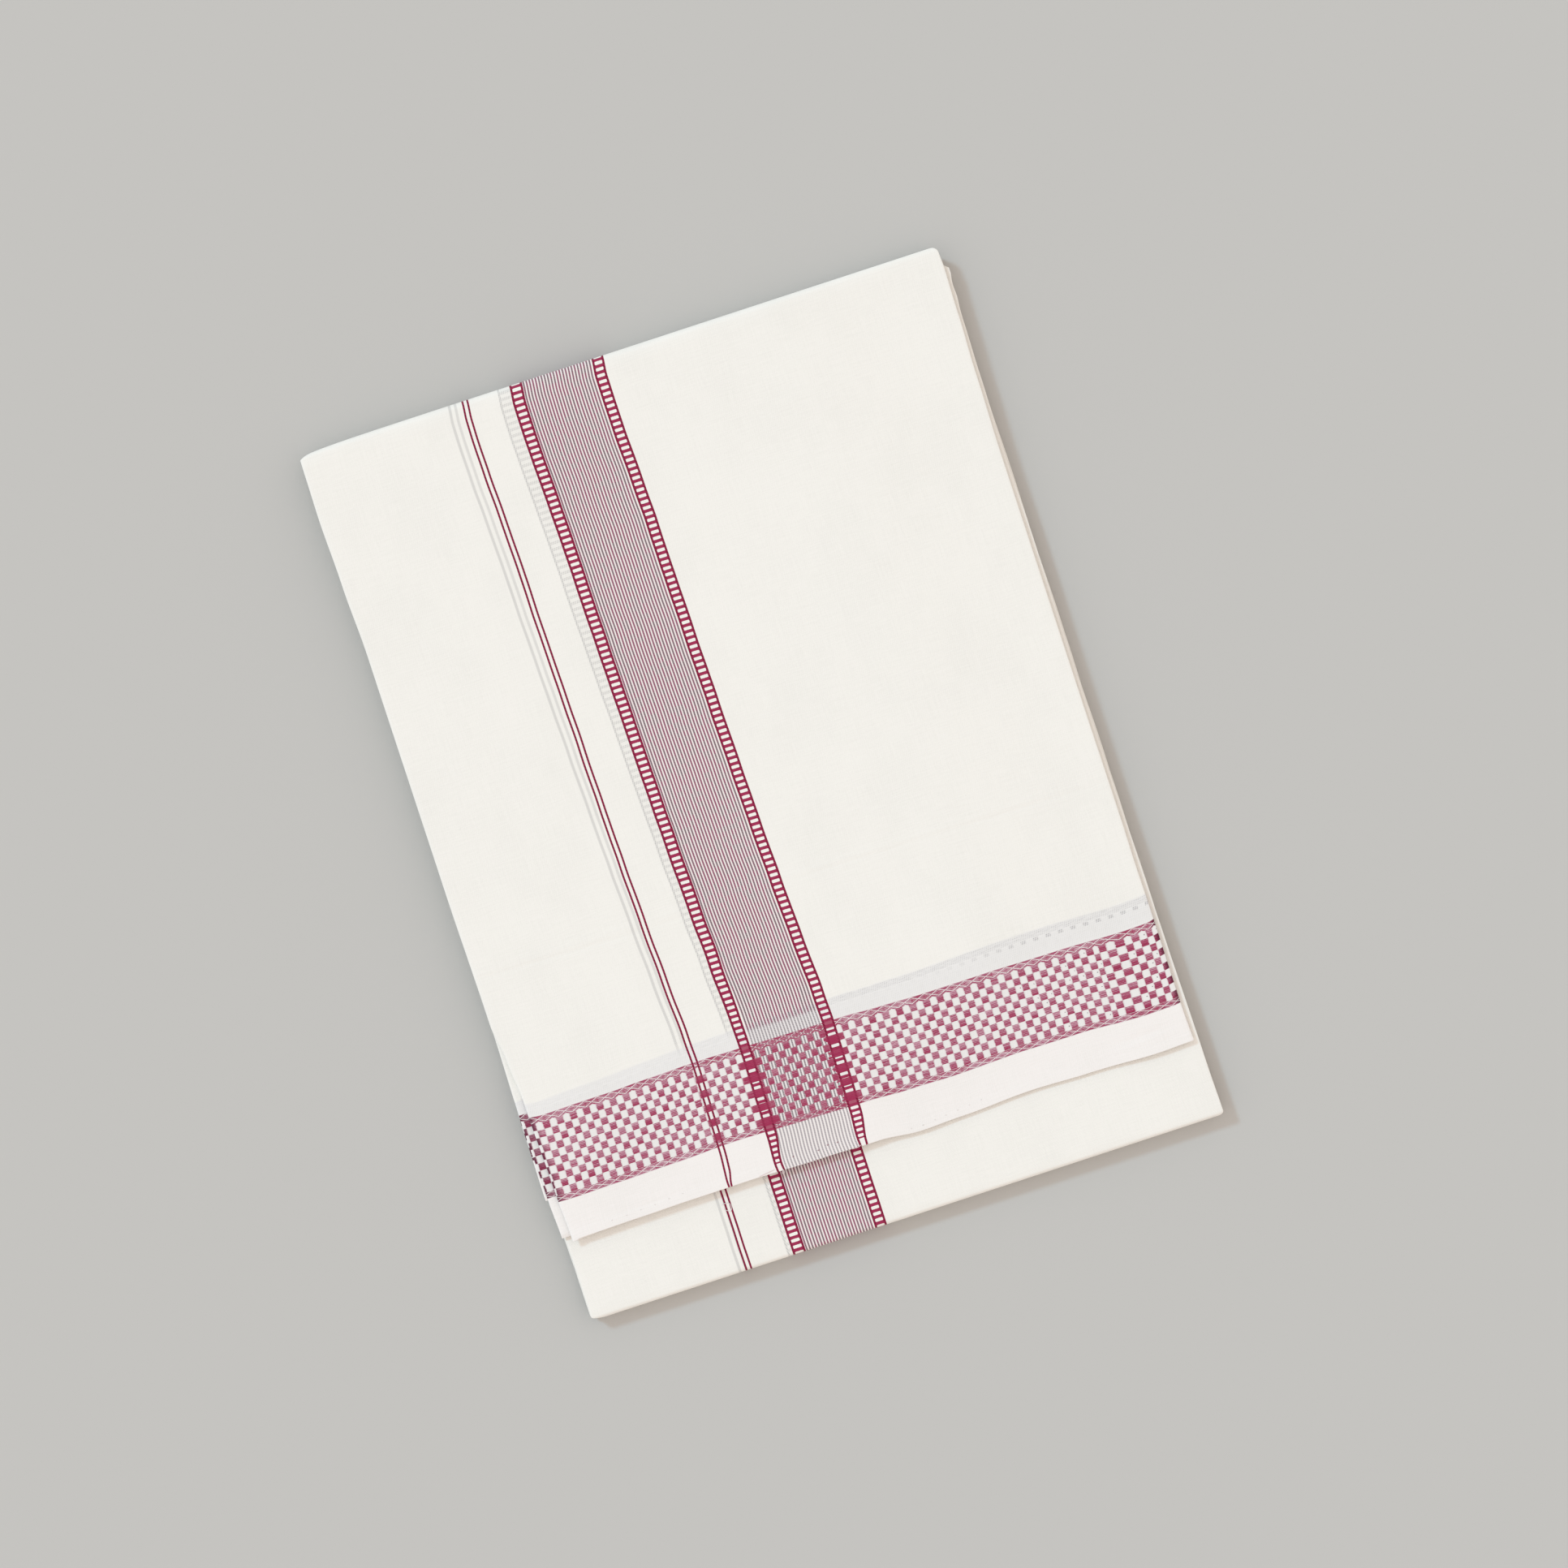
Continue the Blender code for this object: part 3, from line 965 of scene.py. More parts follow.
# Colours as a screen shows them in even light.
WHITE = colour_of(244, 241, 235)
END_WHITE = colour_of(245, 240, 237)
OPEN_WHITE = colour_of(237, 235, 234)
BAND_WHITE = colour_of(236, 233, 231)
SHADED = colour_of(222, 220, 214)
GHOST = colour_of(138, 136, 140)
SPECK = colour_of(92, 66, 72)
STITCH_GREY = colour_of(224, 219, 216)
LOOSE_PINK = colour_of(226, 206, 208)
BOW_WHITE = colour_of(240, 228, 230)
PIN_EDGE = colour_of(218, 190, 199)
PIN_MAROON = colour_of(160, 92, 118)
PIN_MAROON_DARK = colour_of(104, 36, 62)
PIN_GREY = colour_of(140, 122, 126)
PIN_GREY_DARK = colour_of(76, 64, 68)
PIN_PALE = colour_of(190, 184, 186)
PIN_PALE_DARK = colour_of(128, 118, 124)
MAROON_PALE = colour_of(202, 154, 169)
MAROON_SOFT = colour_of(163, 94, 117)
MAROON_BRIGHT = colour_of(167, 46, 86)
MAROON = colour_of(160, 38, 80)
MAROON_DARK = colour_of(114, 16, 50)
CORD_DARK = colour_of(108, 6, 44)
CORD_LIGHT = colour_of(170, 28, 78)
# Maroon in the painted shade of a folded side edge, partly its crowded threads.
CROWDED_AND_SHADED_FOLD_MAROON = colour_of(84, 6, 42)

# Stripes along the cloth, as places across it from the left ladder's left side: the ladders and
# how wide their rails are, and the double line with its cords' half width and soft edge.
LADDERS = ((0.0, 5.35), (35.1, 40.1))
RAIL = 0.88
DOUBLE_LINE = (-20.0, -17.95)
LINE_HALF = 0.41
LINE_SOFT = 0.16
# A window's half height, as a share of the way from rung to rung, and how square it is.
WINDOW_HALF = 0.246
SQUARE = 6
# Where each ladder's right rail is drawn in towards the cloth's end: from, to, and by how much.
SQUEEZES = (
    ((100.0, 52.0, 0.75), (17.0, 3.0, 1.2)),
    ((14.0, -6.0, 1.9),),
)
# The ladders' last threads hang loose below this.
LAST_RUNG = (3.4, 3.0)
# The double line's cords run together at the cloth's end: from, to, and how far each one moves left.
TOGETHER = (7.0, -1.0)
TOGETHER_SHIFTS = (0.4, 1.4)

# The pinstripes: how many, and their first place and pitch along the cloth and at its end.
PIN_COUNT = 23
FIRST_PIN = (5.93, 4.2)
PIN_PITCH = (1.28, 1.37)
PIN_SPREAD = (66.0, -8.0)
# How far from a pinstripe's middle its yarn and its fringe fade: from, to.
PIN_BODY = (0.44, 0.15)
PIN_FRINGE = (0.62, 0.32)
# The two-ply turns of a pinstripe, and how much they lag from one stripe to the next.
TURN_PITCH = 0.74
TURN_LAG = 0.23
# Length of a stretch of one tone, and the place from which all pinstripes are pale.
TONE_LENGTH = 2.1
PLAIN_PINS = 58.3

# The check band, down from its upper edge: a braid, ten rows of checks and a lower braid.
UPPER_BRAID = 3.0
ROW_HEIGHT = 3.04
CHECK_ROWS = 10
FIRST_ROW = BAND_HEAD - UPPER_BRAID
LAST_ROW = FIRST_ROW - CHECK_ROWS * ROW_HEIGHT
LOWER_BRAID = LAST_ROW - BAND_FOOT
# How soft the edges of the rows and of the whole band are.
ROWS_SOFT = 0.01
BAND_SOFT = 0.08
# How much of a column a maroon check fills, how far past that its fringe reaches, and its strength.
CHECK_HALF = 0.485
CHECK_FRINGE = 0.22
FRINGE_SHARE = 0.24
# The braids' zigzags: their middle and slope, in braid heights, and half the width of a white line.
ZIGZAG_MIDDLE = 0.54
ZIGZAG_SLOPE = 0.42
ZIGZAG_HALF = 0.025
ZIGZAG_SOFT = 0.10
# The odd rows' floats run past these stripes: left side, right side and the longest of those floats.
SPILLS = (LADDERS[0] + (1.9,), LADDERS[1] + (1.7,), DOUBLE_LINE + (1.0,))
# The pitch of the floating wefts, of the plain weave, of a rung's wefts in rungs, and of a cord's turns.
THREAD_PITCH = 0.61
WEAVE_PITCH = 0.46
RUNG_THREADS = 0.25
CORD_TURNS = 1.4

# How far the pair below shows through: across the cloth at the top and at the band.
GHOST_ACROSS = (5.75, 3.5)
LOWER_GHOST_ACROSS = (2.65, 2.65)
GHOST_DRIFT = (330.0, 40.0)
# How far up the head of its band shows, how much more per millimetre across, and up to where.
GHOST_ALONG = 7.4
GHOST_LEAN = 0.0247
GHOST_LEVEL = 125.0
# Its second cord and its ladder show this much further in than its first cord.
GHOST_SPREAD = 0.45
# Its ladder, whose rungs lie this share of the way above the ones on top, and a rail's middle.
GHOST_LADDER = (0.0, 5.2)
GHOST_RUNG_SHIFT = 0.3
GHOST_RAIL = 0.5
# Its stripes fade out above the band between these, as heights above the band's head.
GHOST_FADE = (1.0, 12.0)
# Its checks: width of a pair and the first one's place in pairs, and where they start to show.
GHOST_PITCH = 5.28
GHOST_FIRST = 0.19
GHOST_CHECKS_FROM = (75.0, 140.0)
GHOST_BRAID_FROM = (-40.0, 60.0)
# How far apart its dots lie, and how strongly all of it shows.
GHOST_DOTS = 0.66
GHOST_SHARE = 0.85

# Dark marks on the end strip, across the weave and along it, and half their sizes.
FLECKS = ((8.3, 4.1), (18.8, 3.6), (23.1, 4.4), (27.2, 4.3))
FLECK_HALF = (0.42, 0.26)
# Neps lie about this far apart. Broken ends lie beside the checks from here on, at this place in a check.
NEP_SPACING = 26.0
BROKEN_FROM = (104.0, 112.0)
BROKEN_PLACE = (0.11, 0.45)
BROKEN_HALF = (0.035, 0.08)
# How far the threads wander, as the size of the patches across and along, and the distance.
WANDER_ACROSS = (26.0, 11.0, 0.08)
WANDER_ALONG = (16.0, 30.0, 0.09)
# How far the threads stand up as bump, in metres.
THREAD_RELIEF = 0.00008


class Weave:
    """What every part of the pattern starts from: a point's place on the weave."""

    def __init__(self, tree):
        split = tree.nodes.new("ShaderNodeSeparateXYZ")
        fill(split.inputs, [self.attribute(tree, "weave", "Vector")])
        self.across, self.weft, self.column = (Number(socket) for socket in split.outputs)
        self.rung = self.attribute(tree, "rung", "Fac")
        # How much painted shade a sleeve's folded side edges get, partly their crowded threads.
        self.edge = self.attribute(tree, "edge", "Fac")
        sideways = self.cloud(*WANDER_ACROSS[:2]) * WANDER_ACROSS[2]
        lengthwise = self.cloud(*WANDER_ALONG[:2], seed=7.0) * WANDER_ALONG[2]
        self.across += sideways
        self.weft += lengthwise
        # How far up the head of the band below shows through.
        leaning = self.across - most(self.across - GHOST_LEVEL, 0.0)
        self.ghost_along = leaning * GHOST_LEAN + GHOST_ALONG
        self.rows = (FIRST_ROW - self.weft) / ROW_HEIGHT
        self.row = whole(self.rows)
        self.in_rows = between(self.weft, LAST_ROW, FIRST_ROW, ROWS_SOFT)
        self.in_band = between(self.weft, BAND_FOOT, BAND_HEAD, BAND_SOFT)
        self.odd_row = self.row % 2 * self.in_rows
        # Pairs of a maroon and a white check, counted across; each row starts one check further on.
        self.turn = (self.column + self.row) / 2 + 0.25
        self.check = whole(self.turn)
        # 1 on one side of each weave crossing and -1 on the other.
        twill = wave(self.across + self.weft * 0.5, 2 * WEAVE_PITCH)
        self.crossings = twill * wave(self.weft, 2 * WEAVE_PITCH)

    def attribute(self, tree, name, output):
        node = tree.nodes.new("ShaderNodeAttribute")
        node.attribute_name = name
        return Number(node.outputs[output])

    def cloud(self, across_size, weft_size, seed=0.0, detail=0.0):
        """Noise in patches of this size, in millimetres."""
        return noise(vector(self.across / across_size, self.weft / weft_size, seed), detail)


def squeezed(weave, number):
    """How much a ladder's right rail is drawn in towards the cloth's end."""
    return sum(rise(weave.weft, start, end) * size for start, end, size in SQUEEZES[number])


def ladder(weave, number):
    """One ladder, as its whole stripe, its rails and its windows."""
    left, right = LADDERS[number]
    half = (right - left - squeezed(weave, number)) / 2
    away = abs(weave.across - half - left)
    stripe = rise(half - away, -SOFT / 2, SOFT / 2)
    rails = stripe * rise(half - away, RAIL + 0.1, RAIL - 0.1)
    frayed = noise(vector(weave.across / 0.5, weave.rung * 3, 6.0)) * 0.012
    high = abs(part(weave.rung) - 0.5) + (weave.crossings * 0.008 + frayed)
    high = high * (1 - rise(weave.weft, *LAST_RUNG))
    rounded = (away / (half - RAIL)) ** SQUARE + (high / WINDOW_HALF) ** SQUARE
    windows = stripe * rise(rounded, 1.6, 0.6)
    return stripe, rails, windows


def double_line(weave):
    """Two twisted cords, which run together at the cloth's end."""
    together = rise(weave.weft, *TOGETHER)
    cords = []
    for place, shift in zip(DOUBLE_LINE, TOGETHER_SHIFTS):
        cords.append(near(weave.across + together * shift, place, LINE_HALF, LINE_SOFT))
    return most(*cords)


def checks(weave):
    """The rows of checks and their fringes, as how much maroon shows; a check is widest at its head."""
    ragged = (chance(whole(weave.weft / THREAD_PITCH), weave.check, 3.0) - 0.5) * 0.07
    down = part(weave.rows)
    # How far each point is from the middle of the nearest maroon check, in columns.
    away = abs(part(weave.turn) - 0.5) * 2 + ragged - near(down, 0.06, 0.03, 0.06) * 0.07
    head = most(rise(down, 0.0, 0.07), rise(weave.rows, 0.3, 0.2))
    filled = rise(away, CHECK_HALF + 0.05, CHECK_HALF - 0.05) * head * rise(down, 1.0, 0.94)
    fringe = rise(away, CHECK_HALF + CHECK_FRINGE, CHECK_HALF) * weave.in_rows
    return filled * weave.in_rows, fringe


def floating(weave):
    """The tone of the wefts that float over the checks and braids: broken lines, strong at the foot."""
    weft = weave.weft + weave.cloud(0.8, 0.7, seed=17.0) * 0.15
    lines = wave(weft, THREAD_PITCH)
    pieces = wave(weave.across * 0.9 + weave.weft * 1.1, 1.2)
    one_thread = chance(whole(weft / THREAD_PITCH), weave.check, weave.row) - 0.5
    one_check = chance(weave.check, weave.row, 8.0) - 0.5
    foot = (part(weave.rows) - 0.5) * weave.in_rows
    bright = rise(weave.across, 146.0, 156.0) * 0.3
    return lines * 0.5 + pieces * 0.2 + one_thread * 0.8 + one_check * 0.5 + foot * 0.9 + bright


def braids(weave):
    """The band's two braids: diamonds between two crossing zigzags, and lenses outside them."""
    from_diamond = abs(part(weave.column / 2 + 0.25) - 0.5) * 2
    in_upper = between(weave.weft, FIRST_ROW, BAND_HEAD, 0.1)
    in_lower = between(weave.weft, BAND_FOOT, LAST_ROW, 0.1)
    upper = (BAND_HEAD - weave.weft) / UPPER_BRAID
    lower = (weave.weft - BAND_FOOT) / LOWER_BRAID
    depth = lower + (upper - lower) * rise(weave.weft, LAST_ROW + 1, LAST_ROW + 2)
    rough = weave.cloud(0.5, 0.3, seed=12.0) * 0.025
    ring = abs(depth - ZIGZAG_MIDDLE) + from_diamond * ZIGZAG_SLOPE + rough
    zigzags = near(ring, ZIGZAG_SLOPE, ZIGZAG_HALF, ZIGZAG_SOFT)
    outside_ring = rise(ring, ZIGZAG_SLOPE, 0.5)
    inside = rise(ring, ZIGZAG_SLOPE, 0.34) * (1 - near(ring, 0.24, 0.02, 0.08) * 0.45)
    outside = rise(depth, 0.62, 0.54) * outside_ring * rise(depth, 0.02, 0.14)
    odd_column = whole(weave.column) % 2
    over_check = (1 - odd_column) * in_upper + odd_column * in_lower
    inner = rise(depth, 0.5, 0.6) * outside_ring * most(over_check, rise(ring, 0.78, 0.66))
    filled = most(inside, outside, inner)
    return filled * (1 - zigzags * 0.7) * most(in_upper, in_lower)


def woven(name, ghosts=None):
    """The dhoti's cotton, with every stripe, check and thread worked out from its place on the weave."""
    material, shader = new_material(name, roughness=0.88, sheen=0.12)
    tree = material.node_tree
    weave = Weave(tree)
    slubs = weave.cloud(9, 0.55, seed=2.0) + weave.cloud(0.5, 12, seed=5.0)
    colour = pinstriped(weave, ground(weave, slubs))
    if ghosts:
        colour = mixed(ghost_pattern(weave, ghosts) * GHOST_SHARE, colour, GHOST)
    colour, raised = maroon_yarn(weave, colour)
    colour = mixed(specks(weave), colour, SPECK)
    colour = mixed(flecks(weave), colour, MAROON_DARK)
    bump = tree.nodes.new("ShaderNodeBump")
    bump.inputs["Strength"].default_value = 0.5
    bump.inputs["Distance"].default_value = THREAD_RELIEF
    height = raised * 0.6 + weave.crossings * 0.3 + slubs * 0.2
    tree.links.new(height.socket, bump.inputs["Height"])
    tree.links.new(bump.outputs["Normal"], shader.inputs["Normal"])
    tree.links.new(colour.socket, shader.inputs["Base Color"])
    shader.inputs["Specular IOR Level"].default_value = 0.25
    shader.inputs["Sheen Roughness"].default_value = 0.6
    return material


def ground(weave, slubs):
    """White cotton with faint slubs, a denser end strip, and open rows above the band."""
    colour = mixed(rise(weave.weft, BAND_FOOT + 0.3, BAND_FOOT - 0.3), WHITE, END_WHITE)
    open_rows = rise(weave.weft - weave.ghost_along - BAND_HEAD, 0.9, -0.5)
    colour = mixed(open_rows * rise(weave.weft, BAND_FOOT, BAND_HEAD) * 0.85, colour, OPEN_WHITE)
    colour = mixed(weave.in_band, colour, BAND_WHITE)
    mottle = weave.cloud(24, 40, seed=9.0, detail=2.0)
    grain = weave.cloud(0.7, 0.7, seed=21.0, detail=1.0)
    colour = mixed((slubs + grain + mottle * 1.2) * 0.075 + 0.075, colour, SHADED)
    plain_weave = rise(weave.crossings, 0.2, 1.0) * (rise(mottle, -0.1, 0.35) * 0.16 + 0.07)
    return mixed(plain_weave, colour, SHADED)


def pinstriped(weave, ground_colour):
    """Two-ply pinstripes with flecks: maroon and grey, and pale grey from just above the band on."""
    spread = rise(weave.weft, *PIN_SPREAD)
    first, pitch = (start + spread * (end - start) for start, end in (FIRST_PIN, PIN_PITCH))
    pin = (weave.across - first) / pitch + 0.5
    number = whole(pin)
    away = (part(pin) - 0.5) * pitch
    in_pins = between(pin, 0, PIN_COUNT, 0.06)
    body = rise(abs(away), *PIN_BODY)
    fringe = rise(abs(away), *PIN_FRINGE)
    turns = wave(weave.weft + away * 0.5 + number * TURN_LAG, TURN_PITCH)
    patch = chance(number, whole(weave.weft / TONE_LENGTH), 1.0)
    # The outer stripes are greyer.
    outer = rise(abs(pin - PIN_COUNT / 2), 6.0, 11.5) * 0.3
    grey = rise(patch + outer, 0.35, 0.9)
    plain = rise(weave.weft, PLAIN_PINS + 1, PLAIN_PINS - 1)
    light = mixed(plain, mixed(grey, PIN_MAROON, PIN_GREY), PIN_PALE)
    dark = mixed(plain, mixed(grey, PIN_MAROON_DARK, PIN_GREY_DARK), PIN_PALE_DARK)
    light = mixed(weave.in_band * 0.5, light, PIN_GREY)
    dark = mixed(weave.in_band * 0.4, dark, PIN_GREY_DARK)
    yarn = mixed(rise(turns, -0.9, 1.0), light, dark)
    colour = mixed(fringe * in_pins * (0.8 - plain * 0.5), ground_colour, PIN_EDGE)
    end_strip = rise(weave.weft, BAND_FOOT + 0.5, BAND_FOOT - 0.5)
    return mixed(body * in_pins * (0.95 - end_strip * 0.08), colour, yarn)


def spilled(weave):
    """How far the odd rows' floats run past the ladders and the double line, thread by thread."""
    thread = whole(weave.weft / THREAD_PITCH)
    shares = []
    for number, (left, right, longest) in enumerate(SPILLS):
        away = abs(weave.across - (left + right) / 2) - chance(thread, float(number), 9.0) * longest
        half = (right - left) / 2
        shares.append(rise(away, half + SOFT, half - SOFT))
    return most(*shares) * weave.odd_row


def float_colour(weave, beside, stripes, spill):
    """The colour of the wefts that float in the band, strongest on and beside the stripes."""
    tone = floating(weave)
    yarn = mixed(rise(tone, -0.1, 0.9), MAROON_SOFT, MAROON_BRIGHT)
    yarn = mixed(rise(tone, 0.1, -0.8), yarn, MAROON_PALE)
    yarn = mixed(rise(tone, 0.8, 1.5) * 0.7, yarn, MAROON_DARK)
    among_pins = between(weave.across, LADDERS[0][1], LADDERS[1][0])
    full = most(beside * 0.6, stripes * 0.9, spill * 0.8, among_pins * 0.35)
    return mixed(full, yarn, MAROON)


def rung_colour(weave):
    threads = wave(weave.rung, RUNG_THREADS) * 0.5 + weave.cloud(1.5, 0.3, seed=15.0) * 0.6
    yarn = mixed(rise(threads, -0.4, 0.9), MAROON, MAROON_BRIGHT)
    return mixed(rise(threads, -0.3, -1.0), yarn, MAROON_DARK)


def cord_colour(weave):
    """The rails' and the double line's two-ply cords, whose turns show as slanting strokes."""
    twist = wave(weave.weft + weave.across * 1.1, CORD_TURNS)
    return mixed(rise(twist, -0.9, 1.0) * 0.7, CORD_DARK, CORD_LIGHT)


def maroon_yarn(weave, colour):
    """Lays the ladders, the double line and the band over a colour, with painted shade at the folded side
    edges; also gives where maroon shows.
    """
    left, left_rails, left_windows = ladder(weave, 0)
    right, right_rails, right_windows = ladder(weave, 1)
    stripes = most(left, right)
    windows = most(left_windows, right_windows)
    lines = double_line(weave)
    rails = most(left_rails, right_rails, lines)
    squares, fringe = checks(weave)
    # The band's wefts cross over the stripes in its odd rows and in its braids.
    crossed = most(weave.odd_row, weave.in_band - weave.in_rows)
    spill = spilled(weave)
    beside_stripes = most(squares, braids(weave)) * (1 - stripes) * (1 - lines * 0.9)
    floats = most(beside_stripes, stripes * crossed * (1 - windows * 0.08), spill)
    beside = most(*(between(weave.across, first - 2.2, last + 2.0) for first, last in LADDERS))

    colour = mixed(fringe * (1 - stripes) * FRINGE_SHARE, colour, MAROON_SOFT)
    colour = mixed(floats, colour, float_colour(weave, beside, stripes, spill))
    rungs = stripes * (1 - windows)
    colour = mixed(rungs * (1 - crossed * 0.7), colour, rung_colour(weave))
    colour = mixed(rails * (1 - spill * 0.55), colour, cord_colour(weave))
    maroon = most(floats, rungs, rails)
    # Maroon darkens towards the folded side edges: painted shade, partly the fold's crowded threads.
    return mixed(maroon * weave.edge * 0.85, colour, CROWDED_AND_SHADED_FOLD_MAROON), maroon


def ghost_line(weave, off):
    """A cord below, which shows through in two rows of dots."""
    dots = rise(wave(weave.weft - abs(off) * 0.8, GHOST_DOTS), -0.7, 0.6)
    return rise(abs(off), 0.75, 0.35) * (dots * 0.35 + 0.4)


def ghost_rows(weave):
    """What shows through of the band below: its upper braid, and the heads of its checks."""
    lower_weft = weave.weft - weave.ghost_along
    column = weave.across / GHOST_PITCH + GHOST_FIRST
    cells = near(part(column), 0.5, 0.21, 0.12) * near(lower_weft, FIRST_ROW - 0.5, 0.7, 0.5)
    clusters = cells * (rise(weave.across, *GHOST_CHECKS_FROM) * 0.8 + 0.2)
    other_cells = near(part(column + 0.5), 0.5, 0.2, 0.12)
    under = other_cells * near(lower_weft, FIRST_ROW - 3.8, 1.3, 1.0) * 0.2
    uneven = weave.cloud(3.0, 0.5, seed=18.0) * 0.3 + 0.4
    braid = near(lower_weft, FIRST_ROW + 1.7, 1.3, 0.6) * uneven
    braid = braid * (rise(weave.across, *GHOST_BRAID_FROM) * 0.7 + 0.3)
    veil = near(lower_weft, FIRST_ROW - 3.6, 3.6, 1.5) * 0.14
    above_band = rise(weave.weft, BAND_HEAD + 0.1, BAND_HEAD + 0.5)
    return most(clusters, braid, veil, under) * above_band


def ghost_pattern(weave, places):
    """What shows through from the pair of plies below: its stripes, and the head of its check band."""
    at_top, at_band = places
    drift = rise(weave.weft, *GHOST_DRIFT) * (at_top - at_band)
    lower_across = weave.across + at_top - drift
    first = ghost_line(weave, lower_across - DOUBLE_LINE[0])
    second = ghost_line(weave, lower_across - DOUBLE_LINE[1] - GHOST_SPREAD)
    lines = most(first * 0.62, second * 0.5)
    in_ladder = between(lower_across - GHOST_SPREAD, *GHOST_LADDER, 0.5)
    rungs = in_ladder * rise(abs(part(weave.rung + GHOST_RUNG_SHIFT) - 0.5), 0.2, 0.32)
    rail = near(lower_across - GHOST_SPREAD, GHOST_RAIL, 0.4, 0.4)
    fade = rise(weave.weft, *(BAND_HEAD + height for height in GHOST_FADE))
    fade = fade * (1 - between(weave.across, *LADDERS[0]))
    stripes = most(rail * 0.9, rungs * 0.6, in_ladder * 0.12) * fade
    dots = rise(weave.crossings, 0.0, 0.8)
    rows = ghost_rows(weave) * (dots * 0.75 + 0.2)
    return most(stripes * (dots * 0.6 + 0.3), lines * fade, rows)


def oval(x, y, halves):
    """The square of how far out a place lies in an oval, 1 being its edge."""
    return (x / halves[0]) ** 2 + (y / halves[1]) ** 2


def flecks(weave):
    """Where a dark thread came up between the pinstripes of the end strip."""
    frayed = weave.cloud(0.3, 0.3, seed=29.0) * 1.2
    marks = []
    for across, weft in FLECKS:
        off = oval(weave.across - across, weave.weft - weft, FLECK_HALF)
        marks.append(rise(off + frayed, 1.3, 0.5))
    return most(*marks) * 0.75


def neps(weave):
    """A few dark specks that were spun into the yarn."""
    node = added("ShaderNodeTexVoronoi", vector(weave.across / NEP_SPACING, weave.weft / NEP_SPACING, 0.5))
    node.inputs["Scale"].default_value = 1
    shade = added("ShaderNodeSeparateColor", Number(node.outputs["Color"]))
    chosen = rise(Number(shade.outputs[0]), 0.62, 0.66)
    return rise(Number(node.outputs["Distance"]), 0.013, 0.007) * chosen * 0.6


def broken_ends(weave):
    """Thread ends that stand a little to the left of some checks."""
    picked = rise(chance(weave.check, weave.row, 33.0), 0.80, 0.82) * rise(weave.across, *BROKEN_FROM)
    frayed = weave.cloud(0.35, 0.35, seed=23.0) * 1.6
    x = part(weave.turn) - BROKEN_PLACE[0]
    y = part(weave.rows) - BROKEN_PLACE[1]
    ends = rise(oval(x, y, BROKEN_HALF) + frayed, 1.4, 0.4)
    return ends * picked * weave.in_rows * 0.8


def specks(weave):
    return most(neps(weave), broken_ends(weave))


# ---- the pieces ----

# Where the free ends of the plies below the flap lie, and their places on the weave.
INNER_PLY_END = -143.0
SECOND_PLY_END = -150.0
THIRD_PLY_END = -133.5
FLUSH_END = 0.0
ROLLED_END = -0.4
# The weave's length from the cloth's end to the lower leaf and to the hidden ones, clear of the band.
LOWER_LEAF_WEFT = 400.0
HIDDEN_WEFT = 900.0
# The number of the leg in the lowest leaf.
LAST_LEG = 2 * (len(LEAVES) - 1)
# The lower leaf's bare stretch and its fold, with their share of its texture map: from, to.
BARE_RUN = 40.0
FOLD_RUN = 10.0
BARE_SHARE = (0.25, 0.85)


def make_lower_leaf(legs, material, bow_material):
    """The second leaf's upper sleeve, from the top leaf's underside round the bottom fold."""
    leaf = Cloth()
    sections = measured(joined(legs, 2, 4), LOWER_LEAF_WEFT)
    # The stretch that the flap leaves bare, and the bottom fold, have most of the map.
    run = run_of(sections)
    fold = run_of(legs[2])
    bare = ((fold - BARE_RUN) / run, BARE_SHARE[0])
    folded = ((fold + FOLD_RUN) / run, BARE_SHARE[1])
    chart = ((0, 0), bare, folded, (1, 1))
    leaf.add(sections, even(COARSE_COLUMNS), even(FINE_COLUMNS), LOWER_LADDER_PLACE, chart, -1)
    piece = leaf.finish("lower_leaf_cloth", material, ["lower_leaf"])
    make_bow(bow_material)


def last_turn(above, below):
    """The turn at the lowest leaf's end, from the end of one pair to the end of another."""
    heights = (above.height, below.height)
    edges = ((above.left, above.right), (below.left, below.right))
    return turned(last_centre(), above.z, below.z, heights, *edges, LAST_CORNERS)


def make_inner_leaves(first, second, third, fourth, material):
    """The rest of the cloth: each pair goes down to the lowest leaf and comes back up as another."""
    inner = Cloth()
    for upper, under, start in ((first, fourth, 5), (second, third, 3)):
        last = last_turn(upper[-1][-1], under[-1][-1])
        back = [section.flipped() for section in joined(under, start, LAST_LEG)[::-1]]
        chain = measured(joined(upper, 3, LAST_LEG) + last + back, HIDDEN_WEFT)
        inner.add(chain, even(COARSE_COLUMNS), even(COARSE_COLUMNS), LOWER_LADDER_PLACE)
    piece = inner.finish("inner_leaves_cloth", material, ["hidden_leaves"])


